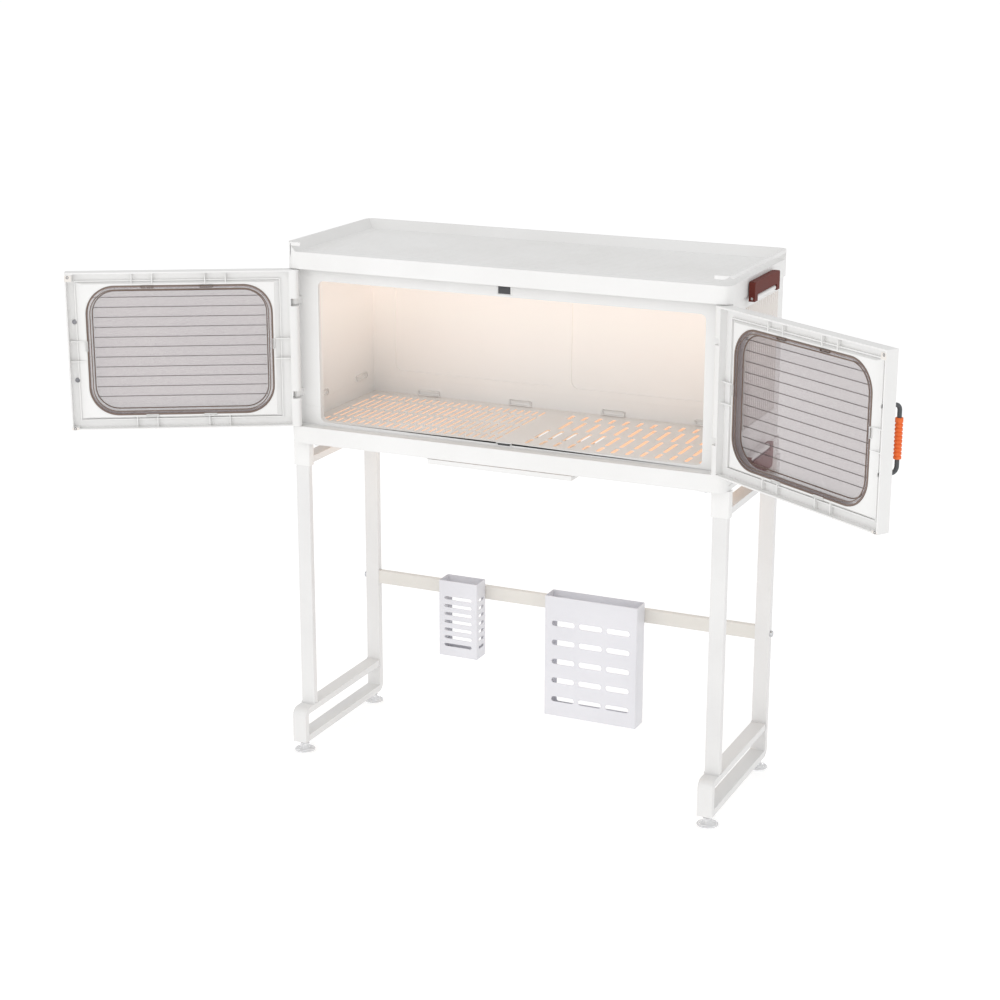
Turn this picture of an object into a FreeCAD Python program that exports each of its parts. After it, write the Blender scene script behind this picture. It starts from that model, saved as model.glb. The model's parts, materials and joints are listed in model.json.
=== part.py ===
import FreeCAD, Part
import os
import re

# A folding two-door dish cabinet on a pair of tube leg frames, with baskets on a rear rail.
# Millimetres. X runs to the right, Y to the rear, Z up. The origin is on the floor under the
# middle of the cabinet. The doors stand open, as their open angles say.

SIZES = {
    # cabinet
    "cabinet_width": 800, "origin_forward": 109, "cabinet_depth": 302, "floor_gap": 580, "corner_radius": 14,
    "skirt_wall": 3, "base_height": 30, "deck_sheet": 2.5, "bay_height": 278,
    "tray_height": 45.5, "rim_depth": 16, "rim_top_wall": 5, "rim_slope": 13, "front_lip_drop": 10,
    "front_lip_end": 28, "tray_sheet": 3, "catch_ledge": 4, "deck_rib_pitch": 12, "deck_rib_width": 1.6,
    "deck_rib_height": 0.8, "basin_depth": 15, "basin_margin": 28, "basin_inset": 4,
    "boss_margin": 8, "boss_hole": 16, "fit_gap": 0.3,
    # walls
    "wall_thick": 12, "wall_skin": 3, "wall_border": 20, "corrugation_pitch": 11,
    "corrugation_rib": 2.5, "kerb_height": 33, "sill_height": 6, "door_set_back": 24,
    "opening_side": 48, "opening_top": 23, "opening_radius": 10, "recess_depth": 2,
    "recess_border": 26, "recess_radius": 14, "back_pockets": 3,
    # drain floor
    "floor_sheet": 3, "floor_rim": 12, "slot_width_fine": 4, "slot_pitch_fine": 14,
    "slot_width_wide": 7, "slot_pitch_wide": 26, "slot_short": 30, "slot_long": 62, "slot_row_gap": 10,
    "floor_play": 1, "drain_width": 240, "drain_depth": 170, "drain_forward": 15,
    # doors
    "door_thick": 23, "door_gap": 0.5, "door_play": 1.5, "door_rim": 2.5, "door_panel": 9.5,
    "hinge_inset": 8, "hinge_from_face": 7, "hinge_post": 17, "hinge_round": 8,
    "hinge_spread": 163, "lug_height": 12, "lug_radius": 6, "notch_gap": 0.6, "pin_radius": 2,
    "pin_clearance": 0.05, "pin_bite": 12, "left_open_angle": 150.5, "right_open_angle": 147,
    "inner_line": 15, "inner_line_wall": 1.8, "inner_line_height": 4, "surround_rise": 6.5,
    "window_hinge_side": 46, "window_free_side": 32.5, "window_edge": 24, "window_radius": 50,
    "window_flange": 3, "window_sheet": 2, "window_depth": 15, "window_gap": 0.3,
    "groove_count": 11, "groove_pitch": 17.4, "groove_width": 1.2, "groove_depth": 0.8,
    "groove_side": 12, "groove_drop": 23, "rib_pair": 35, "rib_wall": 1.6,
    "rib_proud": 0.7, "rib_shift": 5, "surround_top": 3, "lug_arm": 4,
    # pulls and catches
    "pull_spacing": 102, "pull_inset": 12.5, "pull_radius": 3.5, "pull_reach": 20, "pull_bend": 9,
    "grip_radius": 6, "grip_length": 62, "grip_clearance": 0.05, "screw_radius": 2,
    "screw_head_radius": 4, "screw_head": 2.2, "plate_width": 10, "plate_sheet": 1.2,
    "plate_inset": 2, "plate_lift": 0.5, "pad_wall": 3, "thread_bite": 6, "pull_hole": 8, "catch_proud": 0.2,
    "catch_width": 22, "catch_height": 12, "catch_depth": 8, "sill_catch_height": 5.4,
    # side latches
    "latch_length": 132, "latch_sheet": 4, "latch_reach": 12.5, "latch_foot": 15,
    "latch_bar_radius": 4.5, "latch_pin_radius": 2.5, "latch_bar_reach": 7, "latch_bar_drop": 4,
    "latch_top_rise": 27, "latch_bottom_drop": 38.5, "latch_lip": 4, "saddle_half": 3.5,
    "latch_window": 6, "latch_catch_reach": 4,
    "latch_play": 1, "latch_lip_inset": 6, "latch_round": 5, "saddle_gap": 3,
    # leg frames
    "tube_wide": 27, "tube_thin": 12, "tube_wall": 1.2, "leg_outset": 1.5, "front_leg_back": 18,
    "rear_leg_inset": 16, "toe_reach": 16, "rail_lift": 20, "rail_gap": 40, "bend_inside": 3,
    "top_rail_drop": 31, "socket_wall": 2.5, "socket_length": 45.5, "socket_flange": 22,
    "socket_sheet": 5, "leg_top_gap": 2, "foot_radius": 18.5, "foot_disc": 2.5, "foot_cone": 8,
    "foot_stem": 5, "foot_collar": 2, "stud_radius": 3, "stud_length": 10, "foot_front_back": 3,
    "foot_rear_back": 30, "nut_radius": 5, "nut_height": 5, "nut_lift": 1.5, "screw_bite": 14,
    "tube_round": 2,
    # rear rail and baskets
    "bar_height": 25, "bar_thin": 10, "bar_lift": 239.5, "bar_plug": 14, "bolt_radius": 3,
    "bolt_head_radius": 5.5, "bolt_head": 4, "basket_sheet": 1.2, "basket_depth": 39,
    "basket_top": 278, "hook_gap": 0.3, "hook_lip": 14, "hook_width": 22, "hook_inset": 8,
    "side_slot_margin": 9, "back_flange": 9, "back_top": 36, "back_foot": 14, "back_round": 4,
    "caddy_width": 78, "caddy_height": 147, "caddy_left": -228, "caddy_slot_height": 6,
    "caddy_slot_pitch": 15.4, "caddy_slots": 7, "caddy_slot_side": 11, "caddy_slot_drop": 30,
    "rack_width": 180, "rack_height": 231, "rack_left": -13, "rack_slot_height": 10,
    "rack_slot_pitch": 36.8, "rack_rows": 5, "rack_columns": 3, "rack_slot_length": 45,
    "rack_column_pitch": 53.5, "rack_slot_drop": 46,
    # drip tray
    "drip_width": 266, "drip_length": 220, "drip_height": 9, "drip_drop": 1.4, "drip_sheet": 1.5,
    "drip_lip": 4.2, "drip_front": 2, "runner_web": 2.5, "runner_gap": 0.3, "runner_foot": 1.8,
    "runner_set_back": 10,
}

doc = FreeCAD.newDocument("DishCabinet")
sheet = doc.addObject("Spreadsheet::Sheet", "Sizes")
for row, (alias, value) in enumerate(SIZES.items(), start=1):
    sheet.set(f"A{row}", alias)
    sheet.set(f"B{row}", str(value))
    sheet.setAlias(f"B{row}", alias)
doc.recompute()

NODES = []
TURN = {
    "x": FreeCAD.Rotation(FreeCAD.Vector(0, 1, 0), 90),
    "y": FreeCAD.Rotation(FreeCAD.Vector(1, 0, 0), -90),
    "z": FreeCAD.Rotation(),
}
SIDES = (("left", -1), ("right", 1))

# Levels and planes that several pieces share, as expressions of the sizes.
FRONT = "-cabinet_depth / 2"
REAR = "cabinet_depth / 2"
HALF = "cabinet_width / 2"
LEDGE = "(floor_gap + base_height)"
TRAY_UNDER = "(floor_gap + base_height + bay_height)"
TRAY_TOP = f"({TRAY_UNDER} + tray_height)"
DECK_TOP = f"({TRAY_TOP} - rim_depth)"
DECK_UNDER = f"({DECK_TOP} - tray_sheet)"
WALL_OUT = "(cabinet_width / 2 - skirt_wall - fit_gap)"
WALL_FRONT = f"({FRONT} + door_set_back)"
WALL_REAR = f"({REAR} - skirt_wall - fit_gap)"
KERB_TOP = f"({LEDGE} + kerb_height)"
SILL_TOP = f"({LEDGE} + sill_height)"
OPENING_HALF = "(cabinet_width / 2 - opening_side)"
OPENING_TOP = f"({TRAY_UNDER} - opening_top)"
DOOR_HEIGHT = "(bay_height - 2 * door_play)"
DOOR_LENGTH = "(cabinet_width / 2 - hinge_inset - 3 - door_gap)"
HINGE_X = f"({DOOR_LENGTH} + door_gap)"
HINGE_Y = f"({FRONT} + hinge_from_face)"
DOOR_OUT = "-hinge_from_face"
DOOR_IN = "(door_thick - hinge_from_face)"
PANEL_IN = "(door_panel - hinge_from_face)"
SURROUND = f"({PANEL_IN} + surround_rise)"
LEG_OUT = "(cabinet_width / 2 + leg_outset)"
LEG_IN = f"({LEG_OUT} - tube_wide)"
LEG_MID = f"({LEG_OUT} - tube_wide / 2)"
FRONT_LEG = f"({FRONT} + front_leg_back)"
REAR_LEG = f"({REAR} - rear_leg_inset - tube_thin)"
TOE = f"({FRONT} - toe_reach)"
UPPER_RAIL = "(rail_lift + tube_thin + rail_gap)"
RAIL_TOP = f"({UPPER_RAIL} + tube_thin)"
LEG_TOP = "(floor_gap - leg_top_gap)"
BAR_FRONT = f"({REAR_LEG} + tube_thin / 2 - bar_thin / 2)"
SCREW_X = f"({LEG_IN} - socket_wall - socket_flange / 2)"
FOOT_ROWS = (f"({FRONT} + foot_front_back)", f"({REAR} - foot_rear_back)")
TOP_BAR = f"({TRAY_UNDER} - latch_bar_drop)"
BOTTOM_BAR = f"({LEDGE} + latch_bar_drop)"
BAR_X = f"({HALF} + latch_bar_reach)"
CATCH_MID = f"({TRAY_UNDER} - opening_top / 2)"
DOOR_MID = f"({LEDGE} + bay_height / 2)"
LUG_LEVELS = (f"({DOOR_MID} - hinge_spread / 2)", f"({DOOR_MID} + hinge_spread / 2)")


def bind(text):
    """Point every size named in an expression at its cell of the sheet."""
    def cell(word):
        name = word.group(0)
        return f"Sizes.{name}" if name in SIZES else name
    return re.sub(r"[a-z][a-z_]*", cell, text)


def size(name):
    return float(sheet.get(name))


WALL_CORNER = size("corner_radius") - size("skirt_wall")
KERB_MIDDLE = size("floor_gap") + size("base_height") + size("kerb_height") / 2
BAY_MIDDLE = size("floor_gap") + size("base_height") + size("bay_height") / 2


def place(piece, x="0", y="0", z="0"):
    for axis, value in zip("xyz", (x, y, z)):
        piece.setExpression(f"Placement.Base.{axis}", bind(value))
    return piece


def stand(piece, x="0", y="0", z="0"):
    """Put a finished piece in the row frame, whose origin lies in front of the cabinet's middle."""
    return place(piece, x, f"{y} + origin_forward", z)


def block(x, y, z):
    """A box between the low and high expressions of each axis."""
    box = doc.addObject("Part::Box", "Block")
    for length, (low, high) in zip(("Length", "Width", "Height"), (x, y, z)):
        box.setExpression(length, bind(f"({high}) - ({low})"))
    return place(box, x[0], y[0], z[0])


def rod(axis, radius, length, x, y, z, angle=360):
    """A cylinder that starts at x, y, z and runs along the named axis."""
    cylinder = doc.addObject("Part::Cylinder", "Rod")
    cylinder.Placement.Rotation = TURN[axis]
    cylinder.Angle = angle
    cylinder.setExpression("Radius", bind(radius))
    cylinder.setExpression("Height", bind(length))
    return place(cylinder, x, y, z)


def fuse(*pieces):
    union = doc.addObject("Part::MultiFuse", "Union")
    union.Shapes = list(pieces)
    union.Refine = True
    return union


def cut(base, *tools):
    result = doc.addObject("Part::Cut", "Cut")
    result.Base = base
    result.Tool = tools[0] if len(tools) == 1 else group(*tools)
    result.Refine = True
    return result


def group(*pieces):
    compound = doc.addObject("Part::Compound", "Group")
    compound.Links = list(pieces)
    return compound


def edges_along(shape, axis, keep=lambda edge: True):
    """Numbers of the straight edges that run along an axis."""
    others = [other for other in "XYZ" if other != axis.upper()]
    found = []
    for number, edge in enumerate(shape.Edges, start=1):
        box = edge.BoundBox
        if all(getattr(box, other + "Length") < 1e-4 for other in others) and keep(edge):
            found.append(number)
    return found


def rounded(piece, axis, radius, keep=lambda edge: True):
    doc.recompute()
    fillet = doc.addObject("Part::Fillet", "Rounded")
    fillet.Base = piece
    fillet.Edges = [(number, radius, radius) for number in edges_along(piece.Shape, axis, keep)]
    return fillet


def round_block(x, y, z, axis, radius):
    return rounded(block(x, y, z), axis, size(radius))


def mirrored(sign, low, high):
    """The same span on the right (sign 1) or the left (sign -1) of the middle."""
    return (low, high) if sign > 0 else (f"-({high})", f"-({low})")


def node(label, piece):
    piece.Label = label
    if not piece.ExpressionEngine:
        stand(piece)
    NODES.append(piece)
    return piece


def body(label):
    solid = doc.addObject("PartDesign::Body", "Body")
    node(label, solid)
    return solid


def sketch(owner, plane, name="Outline"):
    outline = owner.newObject("Sketcher::SketchObject", name)
    base = next(item for item in owner.Origin.OriginFeatures if item.Role == plane)
    outline.AttachmentSupport = [(base, "")]
    outline.MapMode = "FlatFace"
    return outline


def slot_outline(outline, low, high, radius=0.0):
    """A rectangle between two corners, with its corners rounded if a radius is given."""
    (x_low, y_low), (x_high, y_high) = low, high
    corners = [(x_low, y_low, 180), (x_high, y_low, 270), (x_high, y_high, 0), (x_low, y_high, 90)]
    inset = [(1, 1), (-1, 1), (-1, -1), (1, -1)]
    ends = []
    for (x, y, start), (right, up) in zip(corners, inset):
        middle = FreeCAD.Vector(x + right * radius, y + up * radius, 0)
        turn = [FreeCAD.Rotation(FreeCAD.Vector(0, 0, 1), start + step) for step in (0, 90)]
        ends.append([middle + spin.multVec(FreeCAD.Vector(radius, 0, 0)) for spin in turn])
        if radius:
            circle = Part.Circle(middle, FreeCAD.Vector(0, 0, 1), radius)
            start_angle = start * 3.141592653589793 / 180
            outline.addGeometry(Part.ArcOfCircle(circle, start_angle, start_angle + 1.5707963267948966))
    for here, after in zip(ends, ends[1:] + ends[:1]):
        outline.addGeometry(Part.LineSegment(here[1], after[0]))


def pad(owner, outline, length, symmetric=False, back=False):
    feature = owner.newObject("PartDesign::Pad", "Pad")
    feature.Profile = outline
    feature.setExpression("Length", bind(length))
    feature.Midplane = symmetric
    feature.Reversed = back
    return feature


def pocket(owner, outline, length=None, back=False):
    feature = owner.newObject("PartDesign::Pocket", "Pocket")
    feature.Profile = outline
    feature.Reversed = back
    if length is None:
        feature.Type = "ThroughAll"
        feature.Midplane = True
    else:
        feature.setExpression("Length", bind(length))
    return feature


def repeat(owner, feature, axis, count, pitch):
    pattern = owner.newObject("PartDesign::LinearPattern", "Row")
    direction = next(item for item in owner.Origin.OriginFeatures if item.Role == axis)
    pattern.Originals = [feature]
    pattern.Direction = (direction, [""])
    pattern.Occurrences = count
    pattern.Length = pitch * (count - 1)
    owner.Tip = pattern
    return pattern


# ---------------------------------------------------------------- cabinet
def top_tray():
    """Raised-rim tray that caps the walls; its skirt hangs over their top edges."""
    outer = round_block((f"-{HALF}", HALF), (FRONT, REAR), (TRAY_UNDER, TRAY_TOP), "z", "corner_radius")
    under = block((f"-({HALF} - skirt_wall)", f"{HALF} - skirt_wall"),
                  (f"{FRONT} + skirt_wall", f"{REAR} - skirt_wall"), (f"{TRAY_UNDER} - 1", DECK_UNDER))
    under = rounded(under, "z", size("corner_radius") - size("skirt_wall"))
    well = doc.addObject("Part::Wedge", "Well")
    well.Placement.Rotation = FreeCAD.Rotation(FreeCAD.Vector(1, 0, 0), 90)
    slope = "rim_top_wall + rim_slope"
    spans = {"Ymin": "0", "Ymax": "rim_depth", "Xmin": f"-({HALF}) + {slope}", "Xmax": f"{HALF} - {slope}",
             "X2min": f"-({HALF}) + rim_top_wall", "X2max": f"{HALF} - rim_top_wall",
             "Zmin": f"{FRONT} + {slope}", "Zmax": f"{REAR} - {slope}",
             "Z2min": f"{FRONT} + rim_top_wall", "Z2max": f"{REAR} - rim_top_wall"}
    for name, value in spans.items():
        well.setExpression(name, bind(value))
    place(well, z=DECK_TOP)
    lip = block((f"-({HALF} - front_lip_end)", f"{HALF} - front_lip_end"),
                (f"{FRONT} - 1", f"{FRONT} + rim_top_wall + rim_slope"),
                (f"{TRAY_TOP} - front_lip_drop", f"{TRAY_TOP} + 1"))
    ribs = []
    span = size("cabinet_depth") - 2 * (size("rim_top_wall") + size("rim_slope")) - 2 * size("deck_rib_pitch")
    for step in range(int(span / size("deck_rib_pitch")) + 1):
        start = f"{FRONT} + {slope} + deck_rib_pitch * {step + 1}"
        ribs.append(block((f"-({HALF}) + {slope} + deck_rib_pitch", f"{HALF} - ({slope}) - deck_rib_pitch"),
                          (start, f"{start} + deck_rib_width"), (DECK_TOP, f"{DECK_TOP} + deck_rib_height")))
    pieces = [cut(outer, under, well, lip)] + ribs
    for _, sign in SIDES:
        x = mirrored(sign, HALF, f"{HALF} + latch_catch_reach")
        top = f"{TRAY_UNDER} - latch_bar_drop + latch_top_rise - latch_lip"
        pieces.append(block(x, ("-latch_length / 3", "latch_length / 3"),
                            (f"{top} - catch_ledge", f"{top} - fit_gap")))
    node("top_tray", fuse(*pieces))


def base_tray():
    """Lower tray: a skirt, a ledge under the walls, a shallow basin and four leg bosses."""
    outer = round_block((f"-{HALF}", HALF), (FRONT, REAR), ("floor_gap", LEDGE), "z", "corner_radius")
    inner = block((f"-({HALF} - skirt_wall)", f"{HALF} - skirt_wall"),
                  (f"{FRONT} + skirt_wall", f"{REAR} - skirt_wall"),
                  ("floor_gap - 1", f"{LEDGE} - deck_sheet"))
    inner = rounded(inner, "z", size("corner_radius") - size("skirt_wall"))

    def basin(grow, low, high):
        return block((f"-({HALF} - basin_margin + {grow})", f"{HALF} - basin_margin + {grow}"),
                     (f"{WALL_FRONT} + wall_thick + basin_inset - {grow}",
                      f"{WALL_REAR} - wall_thick - basin_inset + {grow}"),
                     (low, high))

    hollow = cut(inner, basin("deck_sheet", f"{LEDGE} - basin_depth", LEDGE))
    well = basin("0", f"{LEDGE} - basin_depth + deck_sheet", f"{LEDGE} + 1")
    drain = block(("-drain_width / 2", "drain_width / 2"),
                  ("-drain_depth / 2 - drain_forward", "drain_depth / 2 - drain_forward"),
                  (f"{LEDGE} - basin_depth - 1", LEDGE))
    bosses = []
    holes = []
    for _, sign in SIDES:
        for leg in (FRONT_LEG, REAR_LEG):
            x = mirrored(sign, f"{LEG_IN} - socket_wall - socket_flange", f"{HALF} - skirt_wall")
            bosses.append(block(x, (f"{leg} - boss_margin", f"{leg} + tube_thin + boss_margin"),
                                ("floor_gap", f"{LEDGE} - deck_sheet")))
            holes.append(rod("z", "screw_radius + pin_clearance", "boss_hole", f"{sign} * {SCREW_X}",
                             f"{leg} + tube_thin / 2", "floor_gap - 1"))
    shell = fuse(cut(outer, hollow), *bosses)
    node("base_tray", cut(shell, well, drain, *holes))


def lower_frame():
    """Kerb ring that the walls stand on, with a low sill across the door opening."""
    outer = block((f"-{WALL_OUT}", WALL_OUT), (WALL_FRONT, WALL_REAR), (LEDGE, KERB_TOP))
    outer = rounded(outer, "z", WALL_CORNER, lambda edge: edge.BoundBox.YMin > 0)
    ring = cut(outer,
               block((f"-({WALL_OUT} - wall_thick)", f"{WALL_OUT} - wall_thick"),
                     (f"{WALL_FRONT} + wall_thick", f"{WALL_REAR} - wall_thick"),
                     (f"{LEDGE} - 1", f"{KERB_TOP} + 1")))
    mouth = block((f"-{OPENING_HALF}", OPENING_HALF), (f"{WALL_FRONT} - 1", f"{WALL_FRONT} + wall_thick + 1"),
                  (SILL_TOP, f"{KERB_TOP} + opening_radius * 2"))
    mouth = rounded(mouth, "y", size("opening_radius"), lambda edge: edge.BoundBox.ZMin < KERB_MIDDLE)
    catch = block(("-catch_width / 2 - fit_gap / 2", "catch_width / 2 + fit_gap / 2"),
                  (f"{WALL_FRONT} - 1", f"{WALL_FRONT} + catch_depth"),
                  (f"{LEDGE} - 1", f"{SILL_TOP} - fit_gap"))
    pieces = [cut(ring, mouth, catch)]
    for _, sign in SIDES:
        pieces.append(saddle(sign, BOTTOM_BAR))
    node("lower_frame", fuse(*pieces))


def saddle(sign, level):
    """Seat on the outside of a wall that holds one latch bar."""
    x = mirrored(sign, WALL_OUT, f"{BAR_X} - latch_bar_radius / 2")
    seat = block(x,
                 ("-latch_length / 2 + latch_foot + saddle_gap",
                   "latch_length / 2 - latch_foot - saddle_gap"),
                 (f"{level} - saddle_half", f"{level} + saddle_half"))
    return cut(seat, rod("y", "latch_bar_radius + pin_clearance", "latch_length", f"{sign} * {BAR_X}",
                         "-latch_length / 2", level))


def front_frame():
    """Door frame: two stiles and a head, with two hinge lugs on each side."""
    slab = block((f"-({WALL_OUT})", WALL_OUT), (WALL_FRONT, f"{WALL_FRONT} + wall_thick"),
                 (KERB_TOP, DECK_UNDER))
    mouth = block((f"-{OPENING_HALF}", OPENING_HALF), (f"{WALL_FRONT} - 1", f"{WALL_FRONT} + wall_thick + 1"),
                  (f"{KERB_TOP} - 1", OPENING_TOP))
    mouth = rounded(mouth, "y", size("opening_radius"), lambda edge: edge.BoundBox.ZMin > BAY_MIDDLE)
    catch = block(("-catch_width / 2 - fit_gap / 2", "catch_width / 2 + fit_gap / 2"),
                  (f"{WALL_FRONT} - 1", f"{WALL_FRONT} + catch_depth"),
                  (f"{CATCH_MID} - catch_height / 2 - fit_gap / 2",
                   f"{CATCH_MID} + catch_height / 2 + fit_gap / 2"))
    pieces = [cut(slab, mouth, catch)]
    for _, sign in SIDES:
        for level in LUG_LEVELS:
            barrel = rod("z", "lug_radius", "lug_height", f"{sign} * {HINGE_X}", HINGE_Y,
                         f"{level} - lug_height / 2")
            arm = block(mirrored(sign, f"{HINGE_X} - lug_arm", f"{HINGE_X} + lug_arm"), (HINGE_Y, WALL_FRONT),
                        (f"{level} - lug_height / 2", f"{level} + lug_height / 2"))
            hole = rod("z", "pin_radius + pin_clearance", "lug_height + 2", f"{sign} * {HINGE_X}", HINGE_Y,
                       f"{level} - lug_height / 2 - 1")
            pieces.append(cut(fuse(barrel, arm), hole))
    node("front_frame", fuse(*pieces))


def side_panel(side, sign):
    """End wall: a smooth inner skin and upright corrugations outside."""
    inner = f"{WALL_OUT} - wall_thick"
    y_low, y_high = f"{WALL_FRONT} + wall_thick", f"{WALL_REAR} - wall_thick"
    slab = block(mirrored(sign, inner, WALL_OUT), (y_low, y_high), (KERB_TOP, DECK_UNDER))
    width = size("cabinet_depth") - size("door_set_back") - 2 * size("wall_thick") - size("skirt_wall")
    width = width - size("fit_gap") - 2 * size("wall_border")
    grooves = []
    for step in range(int(width / size("corrugation_pitch"))):
        start = f"{y_low} + wall_border + corrugation_pitch * {step}"
        grooves.append(block(mirrored(sign, f"{inner} + wall_skin", f"{WALL_OUT} + 1"),
                             (start, f"{start} + corrugation_pitch - corrugation_rib"),
                             (f"{KERB_TOP} + wall_border", f"{TRAY_UNDER} - wall_border")))
    node(f"{side}_side_panel", fuse(cut(slab, *grooves), saddle(sign, TOP_BAR)))


def back_panel():
    """Rear wall with two shallow rounded recesses inside and lightening pockets outside."""
    y_low = f"{WALL_REAR} - wall_thick"
    slab = block((f"-{WALL_OUT}", WALL_OUT), (y_low, WALL_REAR), (KERB_TOP, DECK_UNDER))
    middle = size("cabinet_depth") / 2 - size("skirt_wall") - size("fit_gap") - size("wall_thick") / 2
    slab = rounded(slab, "z", WALL_CORNER, lambda edge: edge.BoundBox.YMin > middle)
    tools = []
    for _, sign in SIDES:
        x = mirrored(sign, "recess_border / 2", f"{OPENING_HALF} - recess_border / 2")
        recess = block(x, (f"{y_low} - 1", f"{y_low} + recess_depth"),
                       (f"{KERB_TOP} + recess_border / 2", f"{TRAY_UNDER} - recess_border"))
        tools.append(rounded(recess, "y", size("recess_radius")))
        for step in range(int(size("back_pockets"))):
            start = f"recess_border / 2 + ({OPENING_HALF} - recess_border / 2) / back_pockets * {step}"
            end = f"{start} + ({OPENING_HALF} - recess_border / 2) / back_pockets - corrugation_rib * 2"
            tools.append(block(mirrored(sign, start, end),
                               (f"{y_low} + recess_depth + wall_skin", f"{WALL_REAR} + 1"),
                               (f"{KERB_TOP} + wall_border", f"{TRAY_UNDER} - wall_border")))
    node("back_panel", cut(slab, *tools))


def drain_floor():
    """Loose slotted plate over the basin: fine slots on the left half, wide ones on the right."""
    plate = body("drain_floor")
    half_x = size("cabinet_width") / 2 - size("skirt_wall") - size("wall_thick") - size("floor_play")
    front = -size("cabinet_depth") / 2 + size("door_set_back") + size("wall_thick") + size("floor_play")
    rear = size("cabinet_depth") / 2 - size("skirt_wall") - size("wall_thick") - 2 * size("floor_play")
    outline = sketch(plate, "XY_Plane", "PlateOutline")
    slot_outline(outline, (-half_x, front), (half_x, rear), 2)
    pad(plate, outline, "floor_sheet")
    short, long_slot, gap = size("slot_short"), size("slot_long"), size("slot_row_gap")
    starts = [front + size("floor_rim")]
    lengths = [short, long_slot, long_slot, short]
    for length in lengths[:-1]:
        starts.append(starts[-1] + length + gap)
    for half, width, pitch in (("fine", size("slot_width_fine"), size("slot_pitch_fine")),
                               ("wide", size("slot_width_wide"), size("slot_pitch_wide"))):
        reach = half_x - size("floor_rim") - pitch
        count = int(reach / pitch)
        left = -half_x + size("floor_rim") + pitch / 2 if half == "fine" else pitch
        for row, (start, length) in enumerate(zip(starts, lengths)):
            stagger = pitch / 2 if half == "wide" and row == 2 else 0
            hole = sketch(plate, "XY_Plane", f"{half}Slot")
            slot_outline(hole, (left + stagger, start), (left + stagger + width, start + length),
                         width / 2 - 0.01)
            opening = pocket(plate, hole)
            doc.recompute()
            repeat(plate, opening, "X_Axis", count - (1 if stagger else 0), pitch)
    stand(plate, z=LEDGE)


# ---------------------------------------------------------------- doors
def door_frame_placement(piece, sign):
    """Put a piece modelled from its hinge axis and door bottom at its open place."""
    angle = size("left_open_angle") if sign < 0 else -size("right_open_angle")
    piece.Placement.Rotation = FreeCAD.Rotation(FreeCAD.Vector(0, 0, 1), -angle)
    stand(piece, f"{sign} * {HINGE_X}", HINGE_Y, f"{LEDGE} + door_play")
    return piece


def along(sign, low, high):
    """A span measured from the hinge towards the free edge of the closed door."""
    return mirrored(-sign, low, high)


def window_block(sign, grow, y):
    x = along(sign, f"window_hinge_side - hinge_inset - ({grow})",
              f"{DOOR_LENGTH} - window_free_side + ({grow})")
    z = (f"window_edge - ({grow})", f"{DOOR_HEIGHT} - window_edge + ({grow})")
    return block(x, y, z)


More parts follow.
